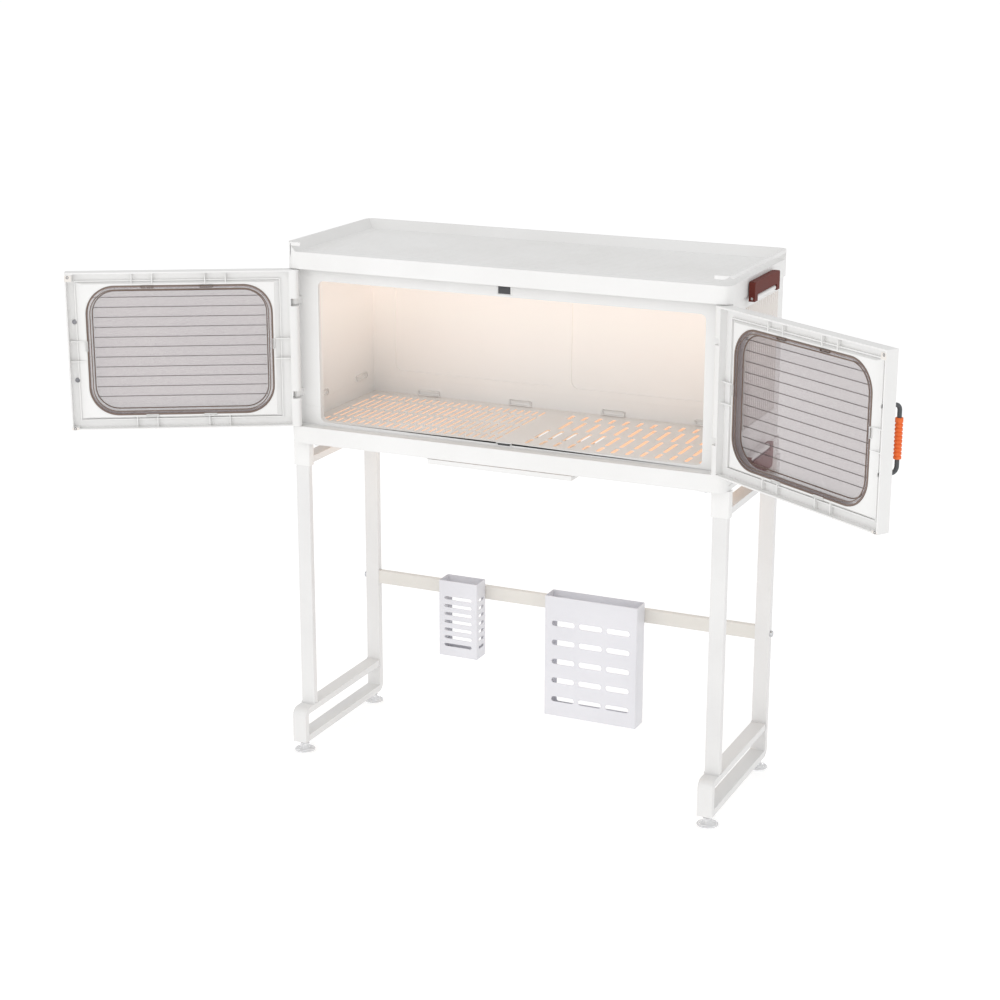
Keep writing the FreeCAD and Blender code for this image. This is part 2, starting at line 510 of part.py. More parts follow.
def door_shell(side, sign):
    """Moulded door: outer panel, rim, sloped window surround, ribs and the hinge post."""
    rim_outer = block(along(sign, "-hinge_inset", DOOR_LENGTH), (DOOR_OUT, DOOR_IN), ("0", DOOR_HEIGHT))
    hollow = block(along(sign, "hinge_post - hinge_inset", f"{DOOR_LENGTH} - door_rim"),
                   (PANEL_IN, f"{DOOR_IN} + 1"), ("door_rim", f"{DOOR_HEIGHT} - door_rim"))
    shell = cut(rim_outer, hollow)
    hinge_edge = sign * size("hinge_inset")
    shell = rounded(shell, "z", size("hinge_round") - 0.01,
                    lambda edge: abs(edge.BoundBox.XMin - hinge_edge) < 0.01 and edge.BoundBox.YMin > 0)
    surround = doc.addObject("Part::Wedge", "Surround")
    foot = "inner_line + inner_line_wall"
    low, high = along(sign, f"hinge_post - hinge_inset + {foot}", f"{DOOR_LENGTH} - {foot}")
    low_top, high_top = along(sign, "window_hinge_side - hinge_inset - surround_top",
                              f"{DOOR_LENGTH} - window_free_side + surround_top")
    spans = {"Ymin": PANEL_IN, "Ymax": SURROUND, "Xmin": low, "Xmax": high, "X2min": low_top,
             "X2max": high_top, "Zmin": foot, "Zmax": f"{DOOR_HEIGHT} - ({foot})",
             "Z2min": "window_edge - surround_top", "Z2max": f"{DOOR_HEIGHT} - window_edge + surround_top"}
    for name, value in spans.items():
        surround.setExpression(name, bind(value))
    line_x = along(sign, "hinge_post - hinge_inset + inner_line", f"{DOOR_LENGTH} - inner_line")
    line_in = along(sign, f"hinge_post - hinge_inset + {foot}", f"{DOOR_LENGTH} - ({foot})")
    line_y = (PANEL_IN, f"{PANEL_IN} + inner_line_height")
    line = cut(block(line_x, line_y, ("inner_line", f"{DOOR_HEIGHT} - inner_line")),
               block(line_in, (PANEL_IN, DOOR_IN), (foot, f"{DOOR_HEIGHT} - ({foot})")))
    pieces = [shell, surround, line]
    rib_y = (PANEL_IN, f"{SURROUND} + rib_proud")
    for centre in (f"{DOOR_LENGTH} / 3 + rib_shift", f"{DOOR_LENGTH} * 2 / 3"):
        for shift in ("-rib_pair / 2", "rib_pair / 2"):
            x = along(sign, f"{centre} + ({shift}) - rib_wall / 2", f"{centre} + ({shift}) + rib_wall / 2")
            pieces.append(block(x, rib_y, ("door_rim", "window_edge")))
            pieces.append(block(x, rib_y, (f"{DOOR_HEIGHT} - window_edge", f"{DOOR_HEIGHT} - door_rim")))
    for shift in ("-rib_pair / 2", "rib_pair / 2"):
        z = (f"{DOOR_HEIGHT} / 2 + ({shift}) - rib_wall / 2", f"{DOOR_HEIGHT} / 2 + ({shift}) + rib_wall / 2")
        free_side = along(sign, f"{DOOR_LENGTH} - window_free_side", f"{DOOR_LENGTH} - door_rim")
        hinge_side = along(sign, "hinge_post - hinge_inset", "window_hinge_side - hinge_inset")
        pieces.extend(block(x, rib_y, z) for x in (free_side, hinge_side))
    for low_z, high_z in (("0.1", "plate_width / 2"),
                          (f"{DOOR_HEIGHT} - 2 * pad_wall - plate_width", f"{DOOR_HEIGHT} - 0.1")):
        pieces.append(block(along(sign, f"{DOOR_LENGTH} - pad_wall - plate_width", f"{DOOR_LENGTH} - 0.1"),
                            (PANEL_IN, f"{DOOR_IN} - plate_sheet"), (low_z, high_z)))
    tools = []
    opening = window_block(sign, "window_gap - window_flange", (f"{DOOR_OUT} - 1", f"{SURROUND} + 5"))
    tools.append(rounded(opening, "y", size("window_radius") - size("window_flange") + size("window_gap")))
    seat = window_block(sign, "window_gap", (f"{SURROUND} - window_sheet", f"{SURROUND} + 5"))
    tools.append(rounded(seat, "y", size("window_radius") + size("window_gap")))
    for keeper in keeper_spans(sign, "1"):
        tools.append(block(*keeper))
    for level in (f"{DOOR_HEIGHT} / 2 - hinge_spread / 2", f"{DOOR_HEIGHT} / 2 + hinge_spread / 2"):
        tools.append(block(along(sign, "-hinge_inset - 1", "lug_radius + notch_gap"),
                           (f"{DOOR_OUT} - 1", f"{DOOR_IN} + 1"),
                           (f"{level} - lug_height / 2 - notch_gap",
                             f"{level} + lug_height / 2 + notch_gap")))
        tools.append(rod("z", "pin_radius + pin_clearance", "lug_height + 2 * pin_bite + 1", "0", "0",
                         f"{level} - lug_height / 2 - pin_bite - 0.5"))
    screw_x = f"{-sign} * ({DOOR_LENGTH} - pull_inset)"
    for shift in ("-pull_spacing / 2", "pull_spacing / 2"):
        level = f"{DOOR_HEIGHT} / 2 + ({shift})"
        tools.append(rod("y", "screw_radius + pin_clearance", "door_thick", screw_x, f"{DOOR_OUT} - 1",
                         level))
        tools.append(rod("y", "screw_head_radius + fit_gap", "door_thick", screw_x, PANEL_IN, level))
    door = cut(fuse(*pieces), *tools)
    node(f"{side}_door_shell", door_frame_placement(door, sign))


def door_window(side, sign):
    """Smoked pane: a dished tray whose flange sits in the surround, with level grooves."""
    back = f"{SURROUND} - window_depth"
    cup = window_block(sign, "-window_flange", (back, SURROUND))
    cup = rounded(cup, "y", size("window_radius") - size("window_flange"))
    flange = window_block(sign, "0", (f"{SURROUND} - window_sheet", SURROUND))
    flange = rounded(flange, "y", size("window_radius"))
    inner = window_block(sign, "-window_flange - window_sheet", (f"{back} + window_sheet", f"{SURROUND} + 1"))
    inner = rounded(inner, "y", size("window_radius") - size("window_flange") - size("window_sheet"))
    tools = [inner]
    floor = f"{back} + window_sheet"
    for step in range(int(size("groove_count"))):
        level = f"{DOOR_HEIGHT} - window_edge - groove_drop - groove_pitch * {step}"
        x = along(sign, "window_hinge_side - hinge_inset + groove_side",
                  f"{DOOR_LENGTH} - window_free_side - groove_side")
        tools.append(block(x, (f"{floor} - groove_depth", f"{floor} + 1"),
                           (level, f"{level} + groove_width")))
    pane = cut(fuse(cup, flange), *tools)
    node(f"{side}_door_window", door_frame_placement(pane, sign))


def door_pull(side, sign):
    """Bent-rod pull with a ribbed sleeve, held by two screws from inside the door."""
    x = f"{-sign} * ({DOOR_LENGTH} - pull_inset)"
    axis_y = f"{DOOR_OUT} - pull_reach"
    low = f"{DOOR_HEIGHT} / 2 - pull_spacing / 2"
    high = f"{DOOR_HEIGHT} / 2 + pull_spacing / 2"
    pieces = [rod("z", "pull_radius", "pull_spacing - 2 * pull_bend", x, axis_y, f"{low} + pull_bend")]
    for level, upward in ((low, 1), (high, -1)):
        pieces.append(rod("y", "pull_radius", "pull_reach - pull_bend", x, f"{axis_y} + pull_bend", level))
        elbow = doc.addObject("Part::Torus", "Elbow")
        elbow.setExpression("Radius1", bind("pull_bend"))
        elbow.setExpression("Radius2", bind("pull_radius"))
        elbow.Angle3 = 90
        elbow.Placement.Rotation = FreeCAD.Rotation(
            FreeCAD.Vector(0, 0, -upward), FreeCAD.Vector(0, -1, 0), FreeCAD.Vector(-upward, 0, 0), "XYZ")
        place(elbow, x, f"{axis_y} + pull_bend", f"{level} + {upward} * pull_bend")
        pieces.append(elbow)
    bar = fuse(*pieces)
    holes = [rod("y", "screw_radius + pin_clearance", "pull_hole + 1", x, f"{DOOR_OUT} - pull_hole", level)
             for level in (low, high)]
    node(f"{side}_door_pull", door_frame_placement(cut(bar, *holes), sign))
    sleeve = cut(rod("z", "grip_radius", "grip_length", x, axis_y, f"{DOOR_HEIGHT} / 2 - grip_length / 2"),
                 rod("z", "pull_radius + grip_clearance", "grip_length + 2", x, axis_y,
                     f"{DOOR_HEIGHT} / 2 - grip_length / 2 - 1"))
    node(f"{side}_door_grip", door_frame_placement(sleeve, sign))
    screws = []
    for level in (low, high):
        head = rod("y", "screw_head_radius", "screw_head", x, PANEL_IN, level)
        shank = rod("y", "screw_radius", "door_panel + thread_bite", x, f"{DOOR_OUT} - thread_bite", level)
        screws.append(fuse(head, shank))
    node(f"{side}_door_pull_screws", door_frame_placement(group(*screws), sign))


def keeper_spans(sign, proud="0"):
    """Spans of the two steel keeper plates at the free corners of a door."""
    x = along(sign, f"{DOOR_LENGTH} - plate_inset - plate_width", f"{DOOR_LENGTH} - door_gap")
    y = (f"{DOOR_IN} - plate_sheet", f"{DOOR_IN} + {proud}")
    middle = f"{CATCH_MID} - {LEDGE} - door_play"
    return [(x, y, ("plate_lift", "plate_width / 2")),
            (x, y, (f"{middle} - plate_width / 2", f"{middle} + plate_width / 2"))]


def door_catch_plates(side, sign):
    plates = group(*[block(*span) for span in keeper_spans(sign)])
    node(f"{side}_door_catch_plates", door_frame_placement(plates, sign))


def hinge_pins(side, sign):
    pins = []
    for level in LUG_LEVELS:
        pins.append(rod("z", "pin_radius", "lug_height + 2 * pin_bite", f"{sign} * {HINGE_X}", HINGE_Y,
                        f"{level} - lug_height / 2 - pin_bite"))
    node(f"{side}_door_hinge_pins", group(*pins))


def catches():
    """Magnetic catches in the head of the door frame and in its sill."""
    x = ("-catch_width / 2", "catch_width / 2")
    y = (f"{WALL_FRONT} - catch_proud", f"{WALL_FRONT} + catch_depth")
    middle = (f"{CATCH_MID} - catch_height / 2", f"{CATCH_MID} + catch_height / 2")
    node("top_catch", group(block(x, y, middle)))
    node("bottom_catch", group(block(x, y, (LEDGE, f"{LEDGE} + sill_catch_height"))))


# ---------------------------------------------------------------- latches
def latch(name, sign, level, tip, lip_reach):
    """U-shaped over-centre latch; tip is +1 where its lip points up, -1 where it points down."""
    reach = "latch_top_rise" if tip > 0 else "latch_bottom_drop"
    outer = f"{HALF} + latch_reach"

    def upright(low, high):
        return (f"{level} + ({low})", f"{level} + ({high})") if tip > 0 else (
            f"{level} - ({high})", f"{level} - ({low})")

    plate = block(mirrored(sign, f"{outer} - latch_sheet", outer), ("-latch_length / 2", "latch_length / 2"),
                  upright("latch_window", reach))
    doc.recompute()
    middle = plate.Shape.CenterOfMass.z
    plate = rounded(plate, "x", size("latch_round"), lambda edge: (edge.BoundBox.ZMin - middle) * tip > 0)
    lip = block(mirrored(sign, lip_reach, outer),
                ("-latch_length / 2 + latch_lip_inset", "latch_length / 2 - latch_lip_inset"),
                upright(f"{reach} - latch_lip", reach))
    pieces = [plate, lip]
    for end in ("-latch_length / 2", "latch_length / 2 - latch_foot"):
        foot = block(mirrored(sign, f"{HALF} + 2 * latch_play", outer), (end, f"{end} + latch_foot"),
                     upright("-latch_bar_radius", "latch_window"))
        pieces.append(foot)
    pin_hole = rod("y", "latch_pin_radius + pin_clearance", "latch_length + 2 * latch_play",
                   f"{sign} * {BAR_X}", "-latch_length / 2 - latch_play", level)
    node(name, cut(fuse(*pieces), pin_hole))


def latches():
    bars = []
    for side, sign in SIDES:
        latch(f"top_{side}_latch", sign, TOP_BAR, 1, f"{HALF} + latch_play")
        latch(f"bottom_{side}_latch", sign, BOTTOM_BAR, -1, f"{HALF} - latch_play * 1.5")
        for level in (TOP_BAR, BOTTOM_BAR):
            grip = rod("y", "latch_bar_radius", "latch_length - 2 * latch_foot - 2 * latch_play",
                       f"{sign} * {BAR_X}", "-latch_length / 2 + latch_foot + latch_play", level)
            pin = rod("y", "latch_pin_radius", "latch_length - 4 * latch_play", f"{sign} * {BAR_X}",
                      "-latch_length / 2 + 2 * latch_play", level)
            bars.append(fuse(grip, pin))
    node("latch_bars", group(*bars))


# ---------------------------------------------------------------- leg frames
def elbow_band(sign, inset, corner_y, corner_z, turn):
    """Quarter bend of a flat tube, its centre at corner_y and corner_z."""
    x = mirrored(sign, f"{LEG_IN} + {inset}", f"{LEG_OUT} - {inset}")
    width = f"tube_wide - 2 * {inset}"
    outer = rod("x", f"bend_inside + tube_thin - {inset}", width, x[0], corner_y, corner_z, 90)
    inner = rod("x", f"bend_inside + {inset}", width, x[0], corner_y, corner_z, 90)
    for quarter in (outer, inner):
        quarter.Placement.Rotation = FreeCAD.Rotation(FreeCAD.Vector(1, 0, 0), turn).multiply(TURN["x"])
    return cut(outer, inner)


def front_leg(side, sign):
    def tube(inset):
        return block(mirrored(sign, f"{LEG_IN} + {inset}", f"{LEG_OUT} - {inset}"),
                     (f"{FRONT_LEG} + {inset}", f"{FRONT_LEG} + tube_thin - {inset}"),
                     (f"{RAIL_TOP} - {inset}", f"{LEG_TOP} + {inset}"))
    node(f"{side}_front_leg", cut(rounded(tube("0"), "z", size("tube_round")), tube("tube_wall")))


def rear_leg(side, sign):
    """Upright tube that bends forward at the bottom into the lower rail."""
    def tube(inset):
        x = mirrored(sign, f"{LEG_IN} + {inset}", f"{LEG_OUT} - {inset}")
        corner_y, corner_z = f"{REAR_LEG} - bend_inside", "rail_lift + tube_thin + bend_inside"
        upright = block(x, (f"{REAR_LEG} + {inset}", f"{REAR_LEG} + tube_thin - {inset}"),
                        (corner_z, f"{LEG_TOP} + {inset}"))
        level = block(x, (f"{TOE} + tube_thin - {inset}", corner_y),
                      (f"rail_lift + {inset}", f"rail_lift + tube_thin - {inset}"))
        return fuse(upright, level, elbow_band(sign, inset, corner_y, corner_z, 0))
    bolt = rod("x", "bolt_radius + pin_clearance", "tube_wide + 2", f"{sign} * {LEG_MID} - tube_wide / 2 - 1",
               f"{REAR_LEG} + tube_thin / 2", "bar_lift + bar_height / 2")
    holes = [rod("z", "stud_radius + pin_clearance", "tube_wall + 2", f"{sign} * {LEG_MID}", y,
                 "rail_lift - 1") for y in FOOT_ROWS]
    node(f"{side}_rear_leg", cut(tube("0"), tube("tube_wall"), bolt, *holes))


def foot_rail(side, sign):
    """Upper foot rail under the front leg; its front end bends down to the lower rail."""
    def tube(inset):
        x = mirrored(sign, f"{LEG_IN} + {inset}", f"{LEG_OUT} - {inset}")
        corner_y, corner_z = f"{TOE} + tube_thin + bend_inside", f"{UPPER_RAIL} - bend_inside"
        level = block(x, (corner_y, f"{REAR_LEG} + {inset}"),
                      (f"{UPPER_RAIL} + {inset}", f"{RAIL_TOP} - {inset}"))
        upright = block(x, (f"{TOE} + {inset}", f"{TOE} + tube_thin - {inset}"),
                        (f"rail_lift - {inset}", corner_z))
        return fuse(level, upright, elbow_band(sign, inset, corner_y, corner_z, 180))
    node(f"{side}_foot_rail", cut(tube("0"), tube("tube_wall")))


def top_rail(side, sign):
    def tube(inset):
        return block(mirrored(sign, f"{LEG_IN} + {inset}", f"{LEG_OUT} - {inset}"),
                     (f"{FRONT_LEG} + tube_thin - {inset}", f"{REAR_LEG} + {inset}"),
                     (f"floor_gap - top_rail_drop - tube_thin + {inset}",
                       f"floor_gap - top_rail_drop - {inset}"))
    node(f"{side}_top_rail", cut(tube("0"), tube("tube_wall")))


def leg_sockets():
    """Plastic sockets over the leg tops, each screwed up into the base through an inner flange."""
    screws = []
    for side, sign in SIDES:
        for end, leg in (("front", FRONT_LEG), ("rear", REAR_LEG)):
            inner_y = (f"{leg} - fit_gap", f"{leg} + tube_thin + fit_gap")
            inner_x = mirrored(sign, f"{LEG_IN} - fit_gap", f"{LEG_OUT} + fit_gap")
            outer_y = (f"{leg} - socket_wall", f"{leg} + tube_thin + socket_wall")
            outer_x = mirrored(sign, f"{LEG_IN} - socket_wall", f"{LEG_OUT} + socket_wall")
            levels = ("floor_gap - socket_length", "floor_gap")
            sleeve = rounded(block(outer_x, outer_y, levels), "z", size("tube_round"))
            reach = f"{LEG_IN} - socket_wall - socket_flange"
            flange = block(mirrored(sign, reach, f"{LEG_IN} - socket_wall + 1"),
                           outer_y, ("floor_gap - socket_sheet", "floor_gap"))
            hollow = block(inner_x, inner_y, ("floor_gap - socket_length - 1", f"{LEG_TOP} + fit_gap"))
            rail_y = (f"{leg} + tube_thin", f"{leg} + tube_thin + socket_wall + 1")
            if end == "rear":
                rail_y = (f"{leg} - socket_wall - 1", leg)
            rail_slot = block(inner_x, rail_y, ("floor_gap - socket_length - 1",
                                                "floor_gap - top_rail_drop + fit_gap"))
            middle_y = f"{leg} + tube_thin / 2"
            hole = rod("z", "screw_radius + pin_clearance", "socket_sheet + 2",
                       f"{sign} * {SCREW_X}", middle_y,
                       "floor_gap - socket_sheet - 1")
            node(f"{side}_{end}_leg_socket", cut(fuse(sleeve, flange), hollow, rail_slot, hole))
            head = rod("z", "screw_head_radius", "screw_head", f"{sign} * {SCREW_X}", middle_y,
                       "floor_gap - socket_sheet - screw_head")
            shank = rod("z", "screw_radius", "socket_sheet + screw_bite", f"{sign} * {SCREW_X}", middle_y,
                        "floor_gap - socket_sheet")
            screws.append(fuse(head, shank))
    node("socket_screws", group(*screws))


def feet():
    """Suction-cup levelling feet: a disc, a cone and a stem turned in one, on a steel stud."""
    nuts = []
    for side, sign in SIDES:
        for end, row in zip(("front", "rear"), FOOT_ROWS):
            foot = body(f"{side}_{end}_foot")
            outline = sketch(foot, "XZ_Plane", "HalfSection")
            stem_top = size("rail_lift") - size("fit_gap")
            points = [(0, 0), (size("foot_radius"), 0), (size("foot_radius"), size("foot_disc")),
                      (size("foot_stem") + size("foot_collar"), size("foot_disc") + size("foot_cone")),
                      (size("foot_stem"), size("foot_disc") + size("foot_cone")),
                       (size("foot_stem"), stem_top),
                      (size("stud_radius"), stem_top), (size("stud_radius"), stem_top + size("stud_length")),
                      (0, stem_top + size("stud_length"))]
            for here, after in zip(points, points[1:] + points[:1]):
                outline.addGeometry(Part.LineSegment(FreeCAD.Vector(*here, 0), FreeCAD.Vector(*after, 0)))
            turned = foot.newObject("PartDesign::Revolution", "Turned")
            turned.Profile = outline
            turned.ReferenceAxis = (outline, ["V_Axis"])
            turned.Angle = 360
            stand(foot, f"{sign} * {LEG_MID}", row)
            nut = cut(rod("z", "nut_radius", "nut_height", f"{sign} * {LEG_MID}", row,
                          "rail_lift + tube_wall + nut_lift"),
                      rod("z", "stud_radius + pin_clearance", "nut_height + 2 * nut_lift",
                           f"{sign} * {LEG_MID}", row,
                          "rail_lift + tube_wall"))
            nuts.append(nut)
    node("foot_nuts", group(*nuts))


# ---------------------------------------------------------------- rear rail and baskets
def rear_rail():
    bar = block((f"-({LEG_IN})", LEG_IN), (BAR_FRONT, f"{BAR_FRONT} + bar_thin"),
                ("bar_lift", "bar_lift + bar_height"))
    bore = block((f"-({LEG_IN} - bar_plug)", f"{LEG_IN} - bar_plug"),
                 (f"{BAR_FRONT} + tube_wall", f"{BAR_FRONT} + bar_thin - tube_wall"),
                 ("bar_lift + tube_wall", "bar_lift + bar_height - tube_wall"))
    holes = []
    bolts = []
    for _, sign in SIDES:
        middle = (f"{REAR_LEG} + tube_thin / 2", "bar_lift + bar_height / 2")
        x = mirrored(sign, f"{LEG_IN} - bar_plug - 1", f"{LEG_OUT}")[0]
        holes.append(rod("x", "bolt_radius + pin_clearance", f"bar_plug + tube_wide + 1", x, *middle))
        head_x = mirrored(sign, LEG_OUT, f"{LEG_OUT} + bolt_head")[0]
        shank_x = mirrored(sign, f"{LEG_IN} - bar_plug", f"{LEG_OUT}")[0]
        bolts.append(fuse(rod("x", "bolt_head_radius", "bolt_head", head_x, *middle),
                          rod("x", "bolt_radius", "bar_plug + tube_wide", shank_x, *middle)))
    node("rear_rail", cut(bar, bore, *holes))
    node("rear_rail_bolts", group(*bolts))


def basket(name, prefix, columns, rows, slot_length, slot_height, column_pitch, side_slots):
    """Sheet basket with rows of rounded slots in front, open on top and behind, on two rail hooks."""
    box = body(name)
    width, height, depth = size(f"{prefix}_width"), size(f"{prefix}_height"), size("basket_depth")
    wall = size("basket_sheet")
    outline = sketch(box, "XY_Plane", "Footprint")
    slot_outline(outline, (0, -depth), (width, 0), 2)
    pad(box, outline, f"{prefix}_height")
    hollow = sketch(box, "XY_Plane", "Hollow")
    slot_outline(hollow, (wall, wall - depth), (width - wall, -wall), 1)
    hollow.AttachmentOffset = FreeCAD.Placement(FreeCAD.Vector(0, 0, wall), FreeCAD.Rotation())
    pocket(box, hollow, f"{prefix}_height", back=True)
    hook_width, gap = size("hook_width"), size("hook_gap")
    bar_drop = size("basket_top") - size("bar_lift") - size("bar_height")
    tab_low = height - bar_drop + gap
    reach = size("bar_thin") + 2 * gap
    for start in (size("hook_inset"), width - size("hook_inset") - hook_width):
        profile = sketch(box, "YZ_Plane", "Hook")
        lip_low = tab_low - size("hook_lip")
        corners = [(-wall, tab_low), (reach, tab_low), (reach, lip_low), (reach + wall, lip_low),
                   (reach + wall, tab_low + wall), (-wall, tab_low + wall)]
        for here, after in zip(corners, corners[1:] + corners[:1]):
            profile.addGeometry(Part.LineSegment(FreeCAD.Vector(*here, 0), FreeCAD.Vector(*after, 0)))
        profile.AttachmentOffset = FreeCAD.Placement(FreeCAD.Vector(0, 0, start), FreeCAD.Rotation())
        pad(box, profile, "hook_width")
    window = sketch(box, "XZ_Plane", "BackWindow")
    flange = size("back_flange")
    slot_outline(window, (flange, size("back_foot")), (width - flange, height - size("back_top")),
                 size("back_round"))
    window.AttachmentOffset = FreeCAD.Placement(FreeCAD.Vector(0, 0, -1), FreeCAD.Rotation())
    pocket(box, window, "basket_sheet + 2", back=True)
    drop = size(f"{prefix}_slot_drop")
    pitch = size(f"{prefix}_slot_pitch")
    first = (width - (columns - 1) * column_pitch - slot_length) / 2
    for column in range(columns):
        left = first + column * column_pitch
        opening = sketch(box, "XZ_Plane", "FrontSlot")
        slot_outline(opening, (left, height - drop - slot_height), (left + slot_length, height - drop),
                     slot_height / 2 - 0.01)
        inside = FreeCAD.Vector(0, 0, depth - wall - 1)
        opening.AttachmentOffset = FreeCAD.Placement(inside, FreeCAD.Rotation())
        slot = pocket(box, opening, "basket_sheet + 2", back=True)
        doc.recompute()
        repeat_down(box, slot, rows, pitch)
    if side_slots:
        opening = sketch(box, "YZ_Plane", "SideSlot")
        margin = size("side_slot_margin")
        slot_outline(opening, (margin - depth, height - drop - slot_height), (-margin, height - drop),
                     slot_height / 2 - 0.01)
        slot = pocket(box, opening)
        doc.recompute()
        repeat_down(box, slot, rows, pitch)
    stand(box, f"{prefix}_left", f"{BAR_FRONT} - hook_gap", f"basket_top - {prefix}_height")


def repeat_down(owner, feature, count, pitch):
    pattern = repeat(owner, feature, "Z_Axis", count, pitch)
    pattern.Reversed = True


def baskets():
    caddy_length = size("caddy_width") - 2 * size("caddy_slot_side")
    basket("utensil_basket", "caddy", 1, int(size("caddy_slots")), caddy_length,
           size("caddy_slot_height"), 0, True)
    basket("board_basket", "rack", int(size("rack_columns")), int(size("rack_rows")),
           size("rack_slot_length"), size("rack_slot_height"), size("rack_column_pitch"), False)


# ---------------------------------------------------------------- drip tray
def drip_tray():
    """Shallow pull-out tray under the drain, on two runners below the basin."""
    y = (f"{FRONT} + drip_front", f"{FRONT} + drip_front + drip_length")
    top = "floor_gap - drip_drop"
    outer = block(("-drip_width / 2", "drip_width / 2"), y, (f"{top} - drip_height", top))
    inner = block(("-drip_width / 2 + drip_sheet", "drip_width / 2 - drip_sheet"),
                  (f"{y[0]} + drip_sheet", f"{y[1]} - drip_sheet"),
                  (f"{top} - drip_height + drip_sheet", f"{top} + 1"))
    pieces = [outer]
    runners = []
    lip_low = f"{top} - drip_sheet"
    for _, sign in SIDES:
        pieces.append(block(mirrored(sign, "drip_width / 2 - 1", "drip_width / 2 + drip_lip"),
                            (f"{y[0]} + runner_set_back + runner_foot", y[1]), (lip_low, top)))
        web = block(mirrored(sign, "drip_width / 2 + drip_lip + runner_gap",
                             "drip_width / 2 + drip_lip + runner_gap + runner_web"),
                    (f"{y[0]} + runner_set_back", f"{y[1]} + 3"),
                    (f"{lip_low} - runner_gap - runner_foot", f"{LEDGE} - basin_depth"))
        flange = block(mirrored(sign, "drip_width / 2 + 2 * runner_gap",
                                "drip_width / 2 + drip_lip + runner_gap + 1"),
                       (f"{y[0]} + runner_set_back", f"{y[1]} + 3"),
                       (f"{lip_low} - runner_gap - runner_foot", f"{lip_low} - runner_gap"))
        runners.append(fuse(web, flange))
    node("drip_tray", cut(fuse(*pieces), inner))
    node("drip_tray_runners", group(*runners))


top_tray()
base_tray()
lower_frame()
front_frame()
back_panel()
drain_floor()
catches()
for side, sign in SIDES:
    side_panel(side, sign)
    door_shell(side, sign)
    door_window(side, sign)
    door_pull(side, sign)
    door_catch_plates(side, sign)
    hinge_pins(side, sign)
    front_leg(side, sign)
    rear_leg(side, sign)
    foot_rail(side, sign)
    top_rail(side, sign)
latches()
leg_sockets()
feet()
rear_rail()
baskets()
drip_tray()

doc.recompute()
for item in doc.Objects:
    if "Invalid" in item.State or "Error" in item.State:
        raise RuntimeError(f"{item.Label} failed: {item.State}")
for piece in NODES:
    if piece.Shape.isNull() or not piece.Shape.isValid():
        raise RuntimeError(f"{piece.Label} has a bad shape")

os.makedirs("parts", exist_ok=True)
for piece in NODES:
    piece.Shape.exportStep(os.path.join("parts", piece.Label + ".step"))
    bounds = piece.Shape.BoundBox
    print(f"{piece.Label:28s} {len(piece.Shape.Solids)} solid(s) {piece.Shape.Volume / 1000:9.1f} cm3 "
          f"x {bounds.XMin:7.1f} {bounds.XMax:7.1f} y {bounds.YMin:7.1f} {bounds.YMax:7.1f} "
          f"z {bounds.ZMin:7.1f} {bounds.ZMax:7.1f}")
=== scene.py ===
import json
import math

import bpy
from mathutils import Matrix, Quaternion, Vector

